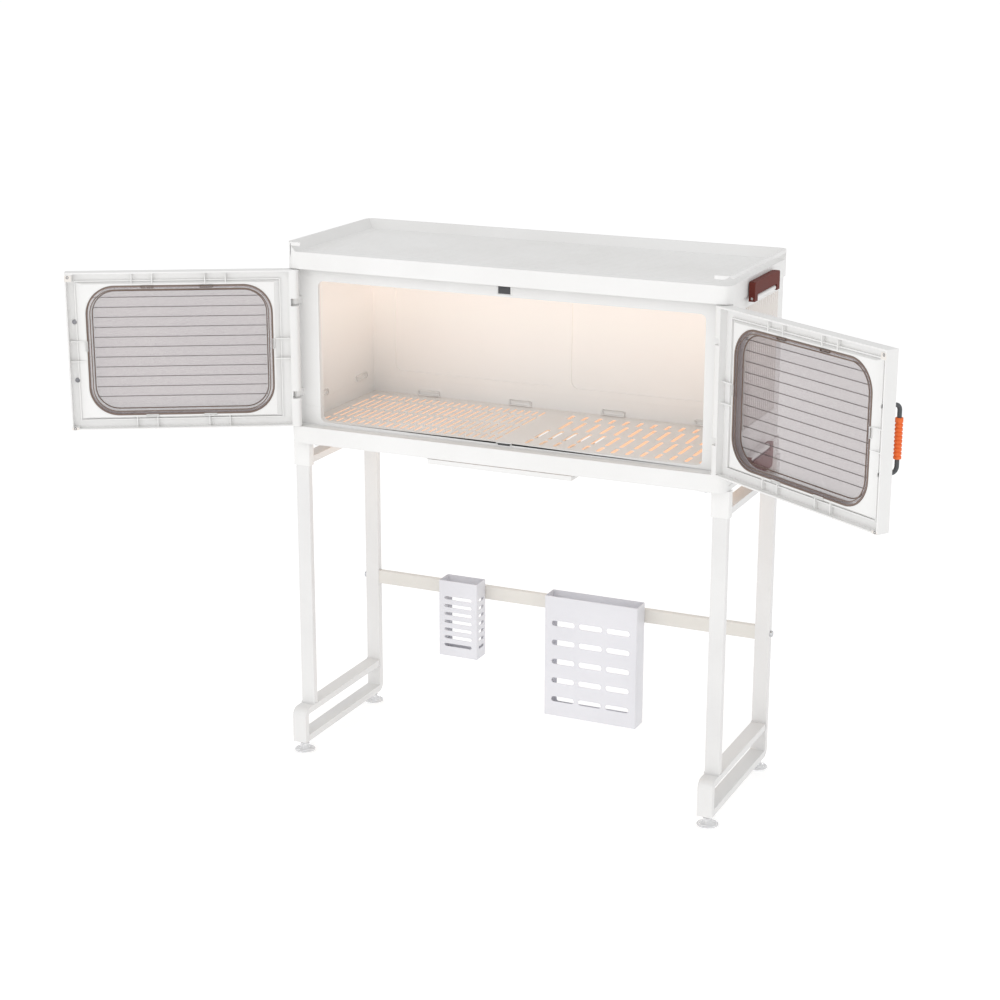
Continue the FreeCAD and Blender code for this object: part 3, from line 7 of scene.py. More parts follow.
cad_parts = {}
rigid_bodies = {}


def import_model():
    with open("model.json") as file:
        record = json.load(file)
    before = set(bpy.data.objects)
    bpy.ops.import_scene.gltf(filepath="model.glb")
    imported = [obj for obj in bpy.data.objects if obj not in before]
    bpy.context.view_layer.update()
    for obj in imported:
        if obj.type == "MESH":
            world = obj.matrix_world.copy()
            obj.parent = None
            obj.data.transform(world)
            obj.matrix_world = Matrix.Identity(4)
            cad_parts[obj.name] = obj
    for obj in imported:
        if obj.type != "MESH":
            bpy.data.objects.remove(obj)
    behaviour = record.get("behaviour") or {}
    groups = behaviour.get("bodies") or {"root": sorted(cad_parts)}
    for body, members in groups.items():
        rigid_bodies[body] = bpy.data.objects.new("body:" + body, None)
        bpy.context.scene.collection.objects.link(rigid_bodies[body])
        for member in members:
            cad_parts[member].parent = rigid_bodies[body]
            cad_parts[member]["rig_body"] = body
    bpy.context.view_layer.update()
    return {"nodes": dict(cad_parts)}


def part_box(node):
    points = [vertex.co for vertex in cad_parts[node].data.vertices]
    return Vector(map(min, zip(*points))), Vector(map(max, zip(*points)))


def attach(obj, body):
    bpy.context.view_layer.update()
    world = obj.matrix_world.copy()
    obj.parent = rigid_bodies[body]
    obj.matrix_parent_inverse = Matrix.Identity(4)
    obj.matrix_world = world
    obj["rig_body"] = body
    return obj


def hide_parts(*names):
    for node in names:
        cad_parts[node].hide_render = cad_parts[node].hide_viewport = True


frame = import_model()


# Leg frames: flat steel tube, 27 by 12 mm, bent at the heel and toe and welded up into two side
# frames, then powder coated white.
def finish(name, dark, light, gloss, grain, depth, cloud_size=7.0):
    """A material with slightly uneven colour and gloss and a fine grain, fixed to the piece."""
    made = bpy.data.materials.new(name)
    made.use_nodes = True
    nodes, links = made.node_tree.nodes, made.node_tree.links
    shader = nodes["Principled BSDF"]
    place = nodes.new("ShaderNodeTexCoord")
    cloud = nodes.new("ShaderNodeTexNoise")
    cloud.inputs["Scale"].default_value = cloud_size
    cloud.inputs["Detail"].default_value = 5.0
    tone = nodes.new("ShaderNodeValToRGB")
    tone.name = "Tone"
    tone.color_ramp.elements[0].position = 0.35
    tone.color_ramp.elements[0].color = (*dark, 1.0)
    tone.color_ramp.elements[1].position = 0.65
    tone.color_ramp.elements[1].color = (*light, 1.0)
    speck = nodes.new("ShaderNodeTexNoise")
    speck.inputs["Scale"].default_value = grain
    speck.inputs["Detail"].default_value = 3.0
    sheen = nodes.new("ShaderNodeMapRange")
    sheen.inputs["From Min"].default_value = 0.3
    sheen.inputs["From Max"].default_value = 0.7
    sheen.inputs["To Min"].default_value = gloss - 0.06
    sheen.inputs["To Max"].default_value = gloss + 0.06
    relief = nodes.new("ShaderNodeBump")
    relief.inputs["Strength"].default_value = 0.35
    relief.inputs["Distance"].default_value = depth
    links.new(place.outputs["Object"], cloud.inputs["Vector"])
    links.new(place.outputs["Object"], speck.inputs["Vector"])
    links.new(cloud.outputs["Fac"], tone.inputs["Fac"])
    links.new(tone.outputs["Color"], shader.inputs["Base Color"])
    links.new(cloud.outputs["Fac"], sheen.inputs["Value"])
    links.new(sheen.outputs["Result"], shader.inputs["Roughness"])
    links.new(speck.outputs["Fac"], relief.inputs["Height"])
    links.new(relief.outputs["Normal"], shader.inputs["Normal"])
    return made, shader


def only(piece):
    """Select one piece and nothing else."""
    bpy.ops.object.select_all(action="DESELECT")
    piece.select_set(True)
    bpy.context.view_layer.objects.active = piece


def ease(piece, width, steps=2, sharp=0.6):
    """Round every sharp edge of a piece and shade its curves smooth."""
    only(piece)
    bpy.ops.object.shade_smooth_by_angle(angle=sharp)
    if width:
        rounding = piece.modifiers.new("Rounding", "BEVEL")
        rounding.width = width
        rounding.segments = steps
        rounding.limit_method = "ANGLE"
        rounding.angle_limit = sharp
        rounding.harden_normals = True
        bpy.ops.object.modifier_apply(modifier=rounding.name)


def moulded(node, name, material, width, steps=2):
    """A CAD part's twin, its triangles joined and its edges rounded, shown in its place."""
    source = frame["nodes"][node]
    piece = bpy.data.objects.new(name, source.data.copy())
    bpy.context.scene.collection.objects.link(piece)
    only(piece)
    bpy.ops.object.mode_set(mode="EDIT")
    bpy.ops.mesh.select_all(action="SELECT")
    bpy.ops.mesh.remove_doubles(threshold=0.00002)
    bpy.ops.mesh.dissolve_limited(angle_limit=0.01)
    bpy.ops.mesh.customdata_custom_splitnormals_clear()
    bpy.ops.object.mode_set(mode="OBJECT")
    piece.data.materials.clear()
    piece.data.materials.append(material)
    ease(piece, width, steps)
    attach(piece, source["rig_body"])
    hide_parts(node)
    return piece


TWO_SIDES = (("left", -1), ("right", 1))
TUBE_EDGE = 0.0014
powder_coat, coat_shader = finish("white_powder_coat", (0.72, 0.715, 0.71), (0.76, 0.757, 0.75),
                                  0.36, 900, 0.0002)
coat_shader.inputs["Coat Weight"].default_value = 0.15
for side, _ in TWO_SIDES:
    for part in ("front_leg", "rear_leg", "foot_rail", "top_rail"):
        moulded(f"{side}_{part}", f"{side}_{part}_tube", powder_coat, TUBE_EDGE, 3)


def collar(name, low, high, axis, corner, wall):
    """A closed band round the box from low to high: corners rounded, then hollowed along axis."""
    bpy.ops.object.select_all(action="DESELECT")
    low, high = Vector(low), Vector(high)
    bpy.ops.mesh.primitive_cube_add(size=1, location=(low + high) / 2, scale=high - low)
    band = bpy.context.object
    band.name = name
    bpy.ops.object.transform_apply(location=True, rotation=True, scale=True)
    bpy.ops.object.mode_set(mode="EDIT")
    bpy.ops.mesh.select_mode(type="EDGE")
    bpy.ops.mesh.select_all(action="DESELECT")
    bpy.ops.object.mode_set(mode="OBJECT")
    points = band.data.vertices
    for edge in band.data.edges:
        run = points[edge.vertices[0]].co - points[edge.vertices[1]].co
        edge.select = abs(run[axis]) > 0.99 * run.length
    bpy.ops.object.mode_set(mode="EDIT")
    if corner:
        bpy.ops.mesh.bevel(offset=corner, segments=10, affect="EDGES")
    bpy.ops.mesh.select_mode(type="FACE")
    bpy.ops.mesh.select_all(action="DESELECT")
    bpy.ops.object.mode_set(mode="OBJECT")
    for face in band.data.polygons:
        face.select = abs(face.normal[axis]) > 0.99
    bpy.ops.object.mode_set(mode="EDIT")
    bpy.ops.mesh.inset(thickness=wall, use_even_offset=True)
    bpy.ops.mesh.delete(type="FACE")
    bpy.ops.mesh.select_mode(type="EDGE")
    bpy.ops.mesh.select_all(action="DESELECT")
    bpy.ops.mesh.select_non_manifold()
    bpy.ops.mesh.bridge_edge_loops()
    bpy.ops.mesh.select_all(action="SELECT")
    bpy.ops.mesh.normals_make_consistent(inside=False)
    bpy.ops.object.mode_set(mode="OBJECT")
    return band


def dress(piece, material, body, edge=0.0, steps=2):
    """Give a finished piece its rounded edges, its material and the body it moves with."""
    ease(piece, edge, steps)
    piece.data.materials.clear()
    piece.data.materials.append(material)
    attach(piece, body)
    return piece


def twin(piece, name, move, turn=0.0):
    """A copy of a piece with its own mesh, turned about Z through the origin and then moved."""
    copy = bpy.data.objects.new(name, piece.data.copy())
    bpy.context.scene.collection.objects.link(copy)
    only(copy)
    copy.rotation_euler = (0, 0, turn)
    copy.location = move
    bpy.ops.object.transform_apply(location=True, rotation=True, scale=True)
    return copy


WELD, WELD_CORNER, WELD_EDGE = 0.0016, 0.0035, 0.0006
TUBE_THIN, RAIL_LOW, RAIL_TOP = 0.012, 0.072, 0.084
leg_low, leg_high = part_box("left_front_leg")
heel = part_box("left_rear_leg")[1].y
ACROSS = -(leg_low.x + leg_high.x)
for name, low, high, axis in (
        ("toe_weld", (leg_low.x - WELD, leg_low.y - WELD, leg_low.z),
         (leg_high.x + WELD, leg_high.y + WELD, leg_low.z + WELD), 2),
        ("heel_weld", (leg_low.x - WELD, heel - TUBE_THIN - WELD, RAIL_LOW - WELD),
         (leg_high.x + WELD, heel - TUBE_THIN, RAIL_TOP + WELD), 1)):
    bead = collar(f"left_{name}", low, high, axis, WELD_CORNER, WELD + 0.0002)
    other = twin(bead, f"right_{name}", (ACROSS, 0, 0))
    for piece in (bead, other):
        dress(piece, powder_coat, "cabinet", WELD_EDGE)


# Levelling feet: clear soft plastic suction cups with a stepped stem, on a steel stud that screws
# into a nut inside the lower rail. The underside is hollowed by a shallow dish.
def turned(name, outline, steps=40):
    """A solid of revolution about Z, raised ring by ring from its lowest face."""
    bpy.ops.object.select_all(action="DESELECT")
    bpy.ops.mesh.primitive_circle_add(vertices=steps, radius=outline[0][0], fill_type="NGON",
                                      location=(0, 0, outline[0][1]))
    made = bpy.context.object
    made.name = name
    bpy.ops.object.transform_apply(location=True, rotation=True, scale=True)
    bpy.ops.object.mode_set(mode="EDIT")
    bpy.ops.mesh.select_mode(type="FACE")
    bpy.ops.mesh.select_all(action="SELECT")
    for (radius, level), (next_radius, next_level) in zip(outline, outline[1:]):
        grow = next_radius / radius
        bpy.ops.mesh.extrude_region_move(
            TRANSFORM_OT_translate={"value": (0, 0, next_level - level)})
        bpy.ops.transform.resize(value=(grow, grow, 1), center_override=(0, 0, next_level))
    bpy.ops.mesh.select_all(action="SELECT")
    bpy.ops.mesh.normals_make_consistent(inside=False)
    bpy.ops.object.mode_set(mode="OBJECT")
    return made


clear_cup, cup_shader = finish("clear_soft_cup", (0.93, 0.93, 0.94), (0.96, 0.96, 0.97),
                               0.22, 300, 0.0001)
cup_shader.inputs["Transmission Weight"].default_value = 0.35
cup_shader.inputs["IOR"].default_value = 1.46
cup_shader.inputs["Alpha"].default_value = 0.75
CUP = [(0.0185, 0.0), (0.0185, 0.0011), (0.0180, 0.0017), (0.0152, 0.0024), (0.0148, 0.0034),
       (0.0140, 0.0038), (0.0108, 0.0046), (0.0085, 0.0062), (0.0072, 0.0088), (0.0068, 0.0105),
       (0.0078, 0.0106), (0.0080, 0.0112), (0.0080, 0.0126), (0.0076, 0.0132), (0.0054, 0.0134),
       (0.0050, 0.0140), (0.0050, 0.0190), (0.0046, 0.0195), (0.0030, 0.0196), (0.0030, 0.0290),
       (0.0024, 0.0297)]
CUP_RIM, CUP_SLOPE, CUP_DISH = 0.004, 0.008, 0.0012
cup = turned("foot_cup_pattern", CUP)
only(cup)
bpy.ops.object.mode_set(mode="EDIT")
bpy.ops.mesh.select_all(action="DESELECT")
bpy.ops.object.mode_set(mode="OBJECT")
for face in cup.data.polygons:
    face.select = face.center.z < 0.0001 and abs(face.normal.z) > 0.9
bpy.ops.object.mode_set(mode="EDIT")
bpy.ops.mesh.inset(thickness=CUP_RIM)
bpy.ops.mesh.inset(thickness=CUP_SLOPE)
bpy.ops.transform.translate(value=(0, 0, CUP_DISH))
bpy.ops.object.mode_set(mode="OBJECT")
for side, _ in TWO_SIDES:
    for end in ("front", "rear"):
        low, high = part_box(f"{side}_{end}_foot")
        centre = (low + high) / 2
        foot = twin(cup, f"{side}_{end}_suction_foot", (centre.x, centre.y, 0))
        dress(foot, clear_cup, f"{side}_{end}_foot_body")
        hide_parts(f"{side}_{end}_foot")
bpy.data.objects.remove(cup)
steel, steel_shader = finish("zinc_plated_steel", (0.50, 0.51, 0.53), (0.60, 0.61, 0.62),
                             0.30, 700, 0.0001, 40)
steel_shader.inputs["Metallic"].default_value = 1.0
moulded("foot_nuts", "foot_stud_nuts", steel, 0.0004)

# Leg sockets: white moulded collars over the leg tops, each with an inner flange screwed up into
# the base tray.
socket_white, _ = finish("socket_white", (0.79, 0.785, 0.775), (0.82, 0.817, 0.81), 0.42, 1200, 0.0002)
for side, _ in TWO_SIDES:
    for end in ("front", "rear"):
        moulded(f"{side}_{end}_leg_socket", f"{side}_{end}_socket", socket_white,
                0.0010)
moulded("socket_screws", "socket_pan_screws", steel, 0.0005)


# Base tray: one white polypropylene moulding with a hollow skirt, a ledge for the walls and a
# shallow basin that catches drips; a painted warm tint and a painted glow stand in for the warm light in the
# basin.
def painted_inner_light(name, dark, light, painted_light_colour, edges, glow=0.0, gloss=0.40):
    """White plastic with a painted warm tint and a painted glow towards the inside of the cabinet, where a
    little light comes through its thin walls; edges are the bounds of that space and their softness."""
    made, shader = finish(name, dark, light, gloss, 1100, 0.0002)
    nodes, links = made.node_tree.nodes, made.node_tree.links
    place = nodes.new("ShaderNodeTexCoord")
    split = nodes.new("ShaderNodeSeparateXYZ")
    links.new(place.outputs["Object"], split.inputs["Vector"])
    shares = []
    for axis, start, end in edges:
        ramp = nodes.new("ShaderNodeMapRange")
        ramp.inputs["From Min"].default_value = start
        ramp.inputs["From Max"].default_value = end
        links.new(split.outputs[axis], ramp.inputs["Value"])
        shares.append(ramp.outputs["Result"])
    share = shares[0]
    for other in shares[1:]:
        both = nodes.new("ShaderNodeMath")
        both.operation = "MULTIPLY"
        links.new(share, both.inputs[0])
        links.new(other, both.inputs[1])
        share = both.outputs["Value"]
    # Painted warm light: the warm colour mixed into the base colour inside the cabinet.
    blend = nodes.new("ShaderNodeMix")
    blend.data_type = "RGBA"
    blend.inputs["B"].default_value = (*painted_light_colour, 1.0)
    links.new(share, blend.inputs["Factor"])
    links.new(nodes["Tone"].outputs["Color"], blend.inputs["A"])
    links.new(blend.outputs["Result"], shader.inputs["Base Color"])
    # Painted glow: the same warm colour given off as light inside the cabinet, though the plastic is no
    # lamp.
    shader.inputs["Emission Color"].default_value = (*painted_light_colour, 1.0)
    painted_glow_strength = nodes.new("ShaderNodeMath")
    painted_glow_strength.operation = "MULTIPLY"
    painted_glow_strength.inputs[1].default_value = glow
    links.new(share, painted_glow_strength.inputs[0])
    links.new(painted_glow_strength.outputs["Value"], shader.inputs["Emission Strength"])
    return made


PLASTIC_DARK, PLASTIC_LIGHT = (0.78, 0.775, 0.765), (0.81, 0.807, 0.80)
# Painted warm light and a painted glow inside the basin, within the bounds listed below.
base_white = painted_inner_light(
    "base_white", PLASTIC_DARK, PLASTIC_LIGHT, (0.90, 0.69, 0.53),
    (("X", -0.374, -0.371), ("X", 0.374, 0.371), ("Y", -0.004, -0.001), ("Y", 0.242, 0.239),
     ("Z", 0.6102, 0.6085), ("Z", 0.5940, 0.5950)), 0.30)
moulded("base_tray", "base_tray_moulding", base_white, 0.0012, 3)

RIDGE_OUT, RIDGE_DEEP, RIDGE_INSET, RIDGE_FOOT, RIDGE_TALL, RIDGE_DROP = (
    0.0006, 0.0015, 0.019, 0.5995, 0.0015, 0.0115)
skirt_low, skirt_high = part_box("base_tray")
MIDDLE_Y = (skirt_low.y + skirt_high.y) / 2
ridge = collar("left_skirt_ridge_upper", (skirt_low.x - RIDGE_OUT, skirt_low.y + RIDGE_INSET, RIDGE_FOOT),
               (skirt_low.x + RIDGE_DEEP, skirt_high.y - RIDGE_INSET, RIDGE_FOOT + RIDGE_TALL),
               0, 0.0, 0.0004)
ridge_copies = [ridge, twin(ridge, "left_skirt_ridge_lower", (0, 0, -RIDGE_DROP))]
for index, level in enumerate(("upper", "lower")):
    ridge_copies.append(twin(ridge, f"right_skirt_ridge_{level}",
                             (0, MIDDLE_Y * 2, -RIDGE_DROP * index), math.pi))
for piece in ridge_copies:
    dress(piece, base_white, "cabinet", 0.0002)

# Walls: a kerb ring, a door frame, two ribbed end walls and a back wall with two long recesses,
# all snap-together white polypropylene mouldings.
# Bounds of the space inside the cabinet where the walls carry painted warm light and a painted glow.
PAINTED_GLOW_ZONE = (("X", -0.3935, -0.3925), ("X", 0.3935, 0.3925), ("Y", -0.0172, -0.0055), ("Y", 0.2495, 0.2480),
          ("Z", 0.600, 0.80))
wall_white = painted_inner_light("wall_white", PLASTIC_DARK, PLASTIC_LIGHT, (0.88, 0.815, 0.76), PAINTED_GLOW_ZONE, 0.26)
for node, name, edge in (
        ("lower_frame", "kerb_ring", 0.0012), ("front_frame", "door_frame", 0.0012),
        ("left_side_panel", "left_end_wall", 0.0008), ("right_side_panel", "right_end_wall", 0.0008),
        ("back_panel", "back_wall", 0.0010)):
    moulded(node, name, wall_white, edge, 2)

# Kerb clips: pockets along the foot of the walls where the panels' tongues snap into the ring.
CLIP_PROUD, CLIP_SUNK, CLIP_CORNER, CLIP_WALL, CLIP_EDGE = 0.0030, 0.001, 0.002, 0.0022, 0.0004
back_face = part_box("back_panel")[0].y
clip = collar("back_clip_1", (-0.292, back_face - CLIP_PROUD, 0.6140),
              (-0.248, back_face + CLIP_SUNK, 0.6245), 1, CLIP_CORNER, CLIP_WALL)
clips = [clip]
for number, shift in ((2, 0.184), (3, 0.365), (4, 0.540)):
    clips.append(twin(clip, f"back_clip_{number}", (shift, 0, 0)))
side_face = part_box("left_side_panel")[1].x
side_clip = collar("left_clip_1", (side_face - CLIP_SUNK, 0.171, 0.6445),
                   (side_face + CLIP_PROUD, 0.213, 0.6555), 0, CLIP_CORNER, CLIP_WALL)
clips.append(side_clip)
clips.append(twin(side_clip, "left_clip_2", (0, -0.148, 0)))
clips.append(twin(side_clip, "right_clip_1", (0, 0.0180 + 2 * MIDDLE_Y, 0), math.pi))
clips.append(twin(side_clip, "right_clip_2", (0, 0.1660 + 2 * MIDDLE_Y, 0), math.pi))
for piece in clips:
    dress(piece, wall_white, "cabinet", CLIP_EDGE)

# Drain floor: a loose slotted plate in the same plastic, given a lighter colour than the other white
# mouldings as painted light, with a painted warm tint and a painted glow on its underside and the lower part
# of its slots; its slots are fine on the left half for glasses and wide on the right for plates.
floor_painted_light = painted_inner_light(
    "drain_floor_white", (0.82, 0.795, 0.77), (0.86, 0.84, 0.82), (0.90, 0.69, 0.53),
    (("Z", 0.6128, 0.6122),), 0.30)
drain_floor = frame["nodes"]["drain_floor"]
drain_floor.data.materials.clear()
drain_floor.data.materials.append(floor_painted_light)

# Top tray: the lid of the cabinet and a shelf in itself, with a sloped rim on three sides, a low
# front lip and a finely ribbed deck.
tray_white, _ = finish("tray_white", PLASTIC_DARK, PLASTIC_LIGHT, 0.38, 1100, 0.0002)
moulded("top_tray", "tray_top_moulding", tray_white, 0.0016, 3)

# Door catches: a dark magnet in a white cup at the head of the opening and a small one in the sill.
magnet_grey, _ = finish("magnet_grey", (0.045, 0.045, 0.05), (0.075, 0.075, 0.08), 0.5, 1500, 0.0002)
moulded("top_catch", "head_magnet", magnet_grey, 0.0006)
moulded("bottom_catch", "sill_magnet", magnet_grey, 0.0006)
RIM_WIDE, RIM_PROUD, RIM_DEEP, RIM_WALL, RIM_EDGE = 0.0035, 0.0004, 0.003, 0.0014, 0.0003
for name, node, below, above in (("head_magnet_cup", "top_catch", 0.0030, 0.0030),
                                 ("sill_magnet_cup", "bottom_catch", 0, 0.0012)):
    low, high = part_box(node)
    cup_rim = collar(name, (low.x - RIM_WIDE, low.y - RIM_PROUD, low.z - below),
                     (high.x + RIM_WIDE, low.y + RIM_DEEP, high.z + above), 1, 0.001, RIM_WALL)
    dress(cup_rim, wall_white, "cabinet", RIM_EDGE)


# Doors: ribbed white mouldings on hinge pins. The pieces added to each door are modelled on it shut at its
# hinge line and then swung to where it stands; its free corners carry steel keeper heads for the magnets.
HINGE_X, HINGE_Y, DOOR_FOOT = 0.389, -0.035, 0.6115
STANDS = {"left": math.radians(-150.5), "right": math.radians(147.0)}


def hang(piece, side, sign):
    """Swing a piece modelled on the shut door to where its door stands."""
    only(piece)
    bpy.ops.object.transform_apply(location=True, rotation=True, scale=True)
    piece.rotation_euler = (0, 0, STANDS[side])
    piece.location = (sign * HINGE_X, HINGE_Y, DOOR_FOOT)
    bpy.ops.object.transform_apply(location=True, rotation=True, scale=True)
    return piece


door_white, _ = finish("door_white", PLASTIC_DARK, PLASTIC_LIGHT, 0.38, 1100, 0.0002)
keeper_white, _ = finish("keeper_pad_white", (0.74, 0.70, 0.66), (0.78, 0.74, 0.70), 0.40, 1100, 0.0002)
keeper_steel, keeper_shader = finish("keeper_dark_steel", (0.16, 0.16, 0.17), (0.24, 0.24, 0.25), 0.25,
                                     700, 0.0001, 40)
keeper_shader.inputs["Metallic"].default_value = 1.0
KEEPER_REACH, KEEPER_FACE, KEEPER_LOW, KEEPER_HIGH = 0.3830, 0.0152, 0.0028, 0.2670
KEEPER_HEAD = [(0.0026, 0.0), (0.0026, 0.0007), (0.0021, 0.0011), (0.0013, 0.0011), (0.0011, 0.0006),
               (0.0004, 0.0006)]
for side, sign in TWO_SIDES:
    moulded(f"{side}_door_shell", f"{side}_door_moulding", door_white, 0.0007)
    moulded(f"{side}_door_catch_plates", f"{side}_door_keepers", keeper_white, 0.0002)
    for number, level in enumerate((KEEPER_LOW, KEEPER_HIGH), 1):
        head = turned(f"{side}_keeper_head_{number}", KEEPER_HEAD, 24)
        head.rotation_euler = (-math.pi / 2, 0, 0)
        head.location = (-sign * KEEPER_REACH, KEEPER_FACE, level)
        hang(head, side, sign)
        dress(head, keeper_steel, f"{side}_door")
    moulded(f"{side}_door_hinge_pins", f"{side}_hinge_rods", door_white, 0.0003)
    moulded(f"{side}_door_pull_screws", f"{side}_pull_screws", keeper_steel, 0.0004)


# Door windows: dished panes in smoked brown acrylic with eleven level grooves, held by a dark bead
# and by small snap tabs on the door; the grooves are thin dark bands of painted shade.
def across(sign, near, far):
    """Lowest and highest X of a span measured from the hinge of a shut door."""
    return min(-sign * near, -sign * far), max(-sign * near, -sign * far)


smoke, smoke_shader = finish("smoked_acrylic", (0.27, 0.205, 0.215), (0.30, 0.235, 0.24), 0.10, 60, 0.00002)
smoke_shader.inputs["Alpha"].default_value = 0.36
smoke_shader.inputs["IOR"].default_value = 1.49
bead_brown, _ = finish("smoked_bead", (0.14, 0.095, 0.075), (0.20, 0.145, 0.12), 0.22, 300, 0.0001)
# Painted shade in the window grooves: a brown darker than the pane.
groove_painted_shade, _ = finish("painted_groove_shade", (0.10, 0.08, 0.08), (0.13, 0.10, 0.10), 0.35, 300, 0.0001)
PANE_NEAR, PANE_FAR, PANE_LOW, PANE_HIGH, PANE_ROUND = 0.038, 0.356, 0.024, 0.251, 0.050
PANE_FACE, DISH = 0.009, 0.0125
BEAD_TALL = 0.0015
GROOVE_FIRST, GROOVE_PITCH, GROOVE_SIDE, GROOVE_WIDE, GROOVES = 0.2285, 0.0174, 0.0125, 0.0011, 11
TAB_LONG, TAB_SHORT, TAB_TALL, TAB_NEAR, TAB_FAR, TAB_LEVEL = 0.022, 0.005, 0.018, 0.150, 0.250, 0.1375
for side, sign in TWO_SIDES:
    moulded(f"{side}_door_window", f"{side}_window_pane", smoke, 0.0004)
    for name, inward, depth, wall in (
            ("outer_bead", 0.0, 0.0007, 0.0028), ("inner_bead", 0.0062, 0.0004, 0.0016),
            ("dish_bead", 0.0095, -0.0090, 0.0018)):
        low_x, high_x = across(sign, PANE_NEAR + inward, PANE_FAR - inward)
        bead = collar(f"{side}_{name}", (low_x, PANE_FACE + depth - BEAD_TALL, PANE_LOW + inward),
                      (high_x, PANE_FACE + depth, PANE_HIGH - inward), 1, PANE_ROUND - inward, wall)
        hang(bead, side, sign)
        dress(bead, bead_brown, f"{side}_door", 0.0003)
    # The grooves, drawn as thin dark bands of painted shade.
    low_x, high_x = across(sign, PANE_NEAR + GROOVE_SIDE, PANE_FAR - GROOVE_SIDE)
    line = collar(f"{side}_groove_01", (low_x, PANE_FACE - DISH - 0.0004, GROOVE_FIRST),
                  (high_x, PANE_FACE - DISH + 0.0003, GROOVE_FIRST + GROOVE_WIDE), 1, 0.0, 0.0004)
    lines = [line]
    for number in range(1, GROOVES):
        lines.append(twin(line, f"{side}_groove_{number + 1:02d}", (0, 0, -GROOVE_PITCH * number)))
    for piece in lines:
        hang(piece, side, sign)
        dress(piece, groove_painted_shade, f"{side}_door")
    tabs = [(middle, foot, TAB_LONG, TAB_SHORT) for foot in (PANE_HIGH - TAB_SHORT, PANE_LOW - 0.0035)
            for middle in (TAB_NEAR, TAB_FAR)]
    tabs += [(middle, TAB_LEVEL, TAB_SHORT, TAB_TALL) for middle in (PANE_NEAR - 0.001, PANE_FAR + 0.001)]
    for number, (middle, foot, width, height) in enumerate(tabs, 1):
        low_x, high_x = across(sign, middle - width / 2, middle + width / 2)
        tab = collar(f"{side}_snap_tab_{number}", (low_x, PANE_FACE - 0.001, foot),
                     (high_x, PANE_FACE + 0.0018, foot + height), 1, 0.001, 0.0012)
        hang(tab, side, sign)
        skin, slot = (bead_brown, "smoked_plastic") if number <= 2 else (door_white, "white_plastic")
        dress(tab, skin, f"{side}_door", 0.0003)

# Door pulls: a bent dark grey rod screwed on from inside, with a ribbed orange rubber sleeve.
pull_grey, _ = finish("pull_grey", (0.055, 0.06, 0.065), (0.08, 0.085, 0.09), 0.38, 900, 0.0002)
grip_orange, _ = finish("grip_orange", (0.80, 0.135, 0.018), (0.88, 0.17, 0.028), 0.55, 1500, 0.0003)
GRIP_HALF, GRIP_OUT, GRIP_DIP, GRIP_BORE, GRIP_LIP = 0.031, 0.0060, 0.0049, 0.0046, 0.0056
RIBS, RIB_FIRST, RIB_PITCH = 9, 0.004, 0.006
PULL_REACH, PULL_OUT, PULL_LEVEL = 0.376, 0.027, 0.1375
sleeve = [(GRIP_BORE, -GRIP_HALF), (GRIP_LIP, -GRIP_HALF), (GRIP_OUT, -GRIP_HALF + 0.0006)]
for rib in range(RIBS):
    start = -GRIP_HALF + RIB_FIRST + rib * RIB_PITCH
    sleeve += [(GRIP_OUT, start), (GRIP_DIP, start + 0.0008), (GRIP_DIP, start + 0.0020),
               (GRIP_OUT, start + 0.0028)]
sleeve += [(GRIP_OUT, GRIP_HALF - 0.0006), (GRIP_LIP, GRIP_HALF), (GRIP_BORE, GRIP_HALF)]
grip = turned("grip_pattern", sleeve, 28)
for side, sign in TWO_SIDES:
    moulded(f"{side}_door_pull", f"{side}_pull_rod", pull_grey, 0.0)
    ribbed = twin(grip, f"{side}_ribbed_grip", (-sign * PULL_REACH, -PULL_OUT, PULL_LEVEL))
    hang(ribbed, side, sign)
    dress(ribbed, grip_orange, f"{side}_door")
    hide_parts(f"{side}_door_grip")
bpy.data.objects.remove(grip)

# Side latches: red-brown moulded hooks that clip the tray and the base to the walls, hinged on
# white bars that sit in saddles on the end walls. A rounded cheek closes each end of a hook.
latch_brown, latch_shader = finish("latch_red_brown", (0.110, 0.022, 0.016), (0.150, 0.034, 0.026),
                                   0.55, 900, 0.0002)
latch_shader.inputs["Specular IOR Level"].default_value = 0.12
bar_white, _ = finish("latch_bar_white", PLASTIC_DARK, PLASTIC_LIGHT, 0.38, 1100, 0.0001)
CHEEK_DEEP, CHEEK_THICK, CHEEK_ROUND, CHEEK_IN = 0.0105, 0.003, 0.0052, 0.0003
HINGE_END, TOP_TIP, BOTTOM_TIP = 0.010, 0.0006, 0.0046


def cheek(name, low, high, tip, sign):
    """The closed end of a latch, between its plate and the wall, rounded at the outer tip."""
    bpy.ops.object.select_all(action="DESELECT")
    bpy.ops.mesh.primitive_cube_add(size=1, location=(low + high) / 2, scale=high - low)
    end = bpy.context.object
    end.name = name
    bpy.ops.object.transform_apply(location=True, rotation=True, scale=True)
    bpy.ops.object.mode_set(mode="EDIT")
    bpy.ops.mesh.select_mode(type="EDGE")
    bpy.ops.mesh.select_all(action="DESELECT")
    bpy.ops.object.mode_set(mode="OBJECT")
    middle = (low + high) / 2
    points = end.data.vertices
    for edge in end.data.edges:
        one, two = (points[index].co for index in edge.vertices)
        edge.select = all((at.x - middle.x) * sign > 0 and (at.z - middle.z) * tip > 0
                          for at in (one, two))
    bpy.ops.object.mode_set(mode="EDIT")
    bpy.ops.mesh.bevel(offset=CHEEK_ROUND, segments=8, affect="EDGES")
    bpy.ops.object.mode_set(mode="OBJECT")
    return end


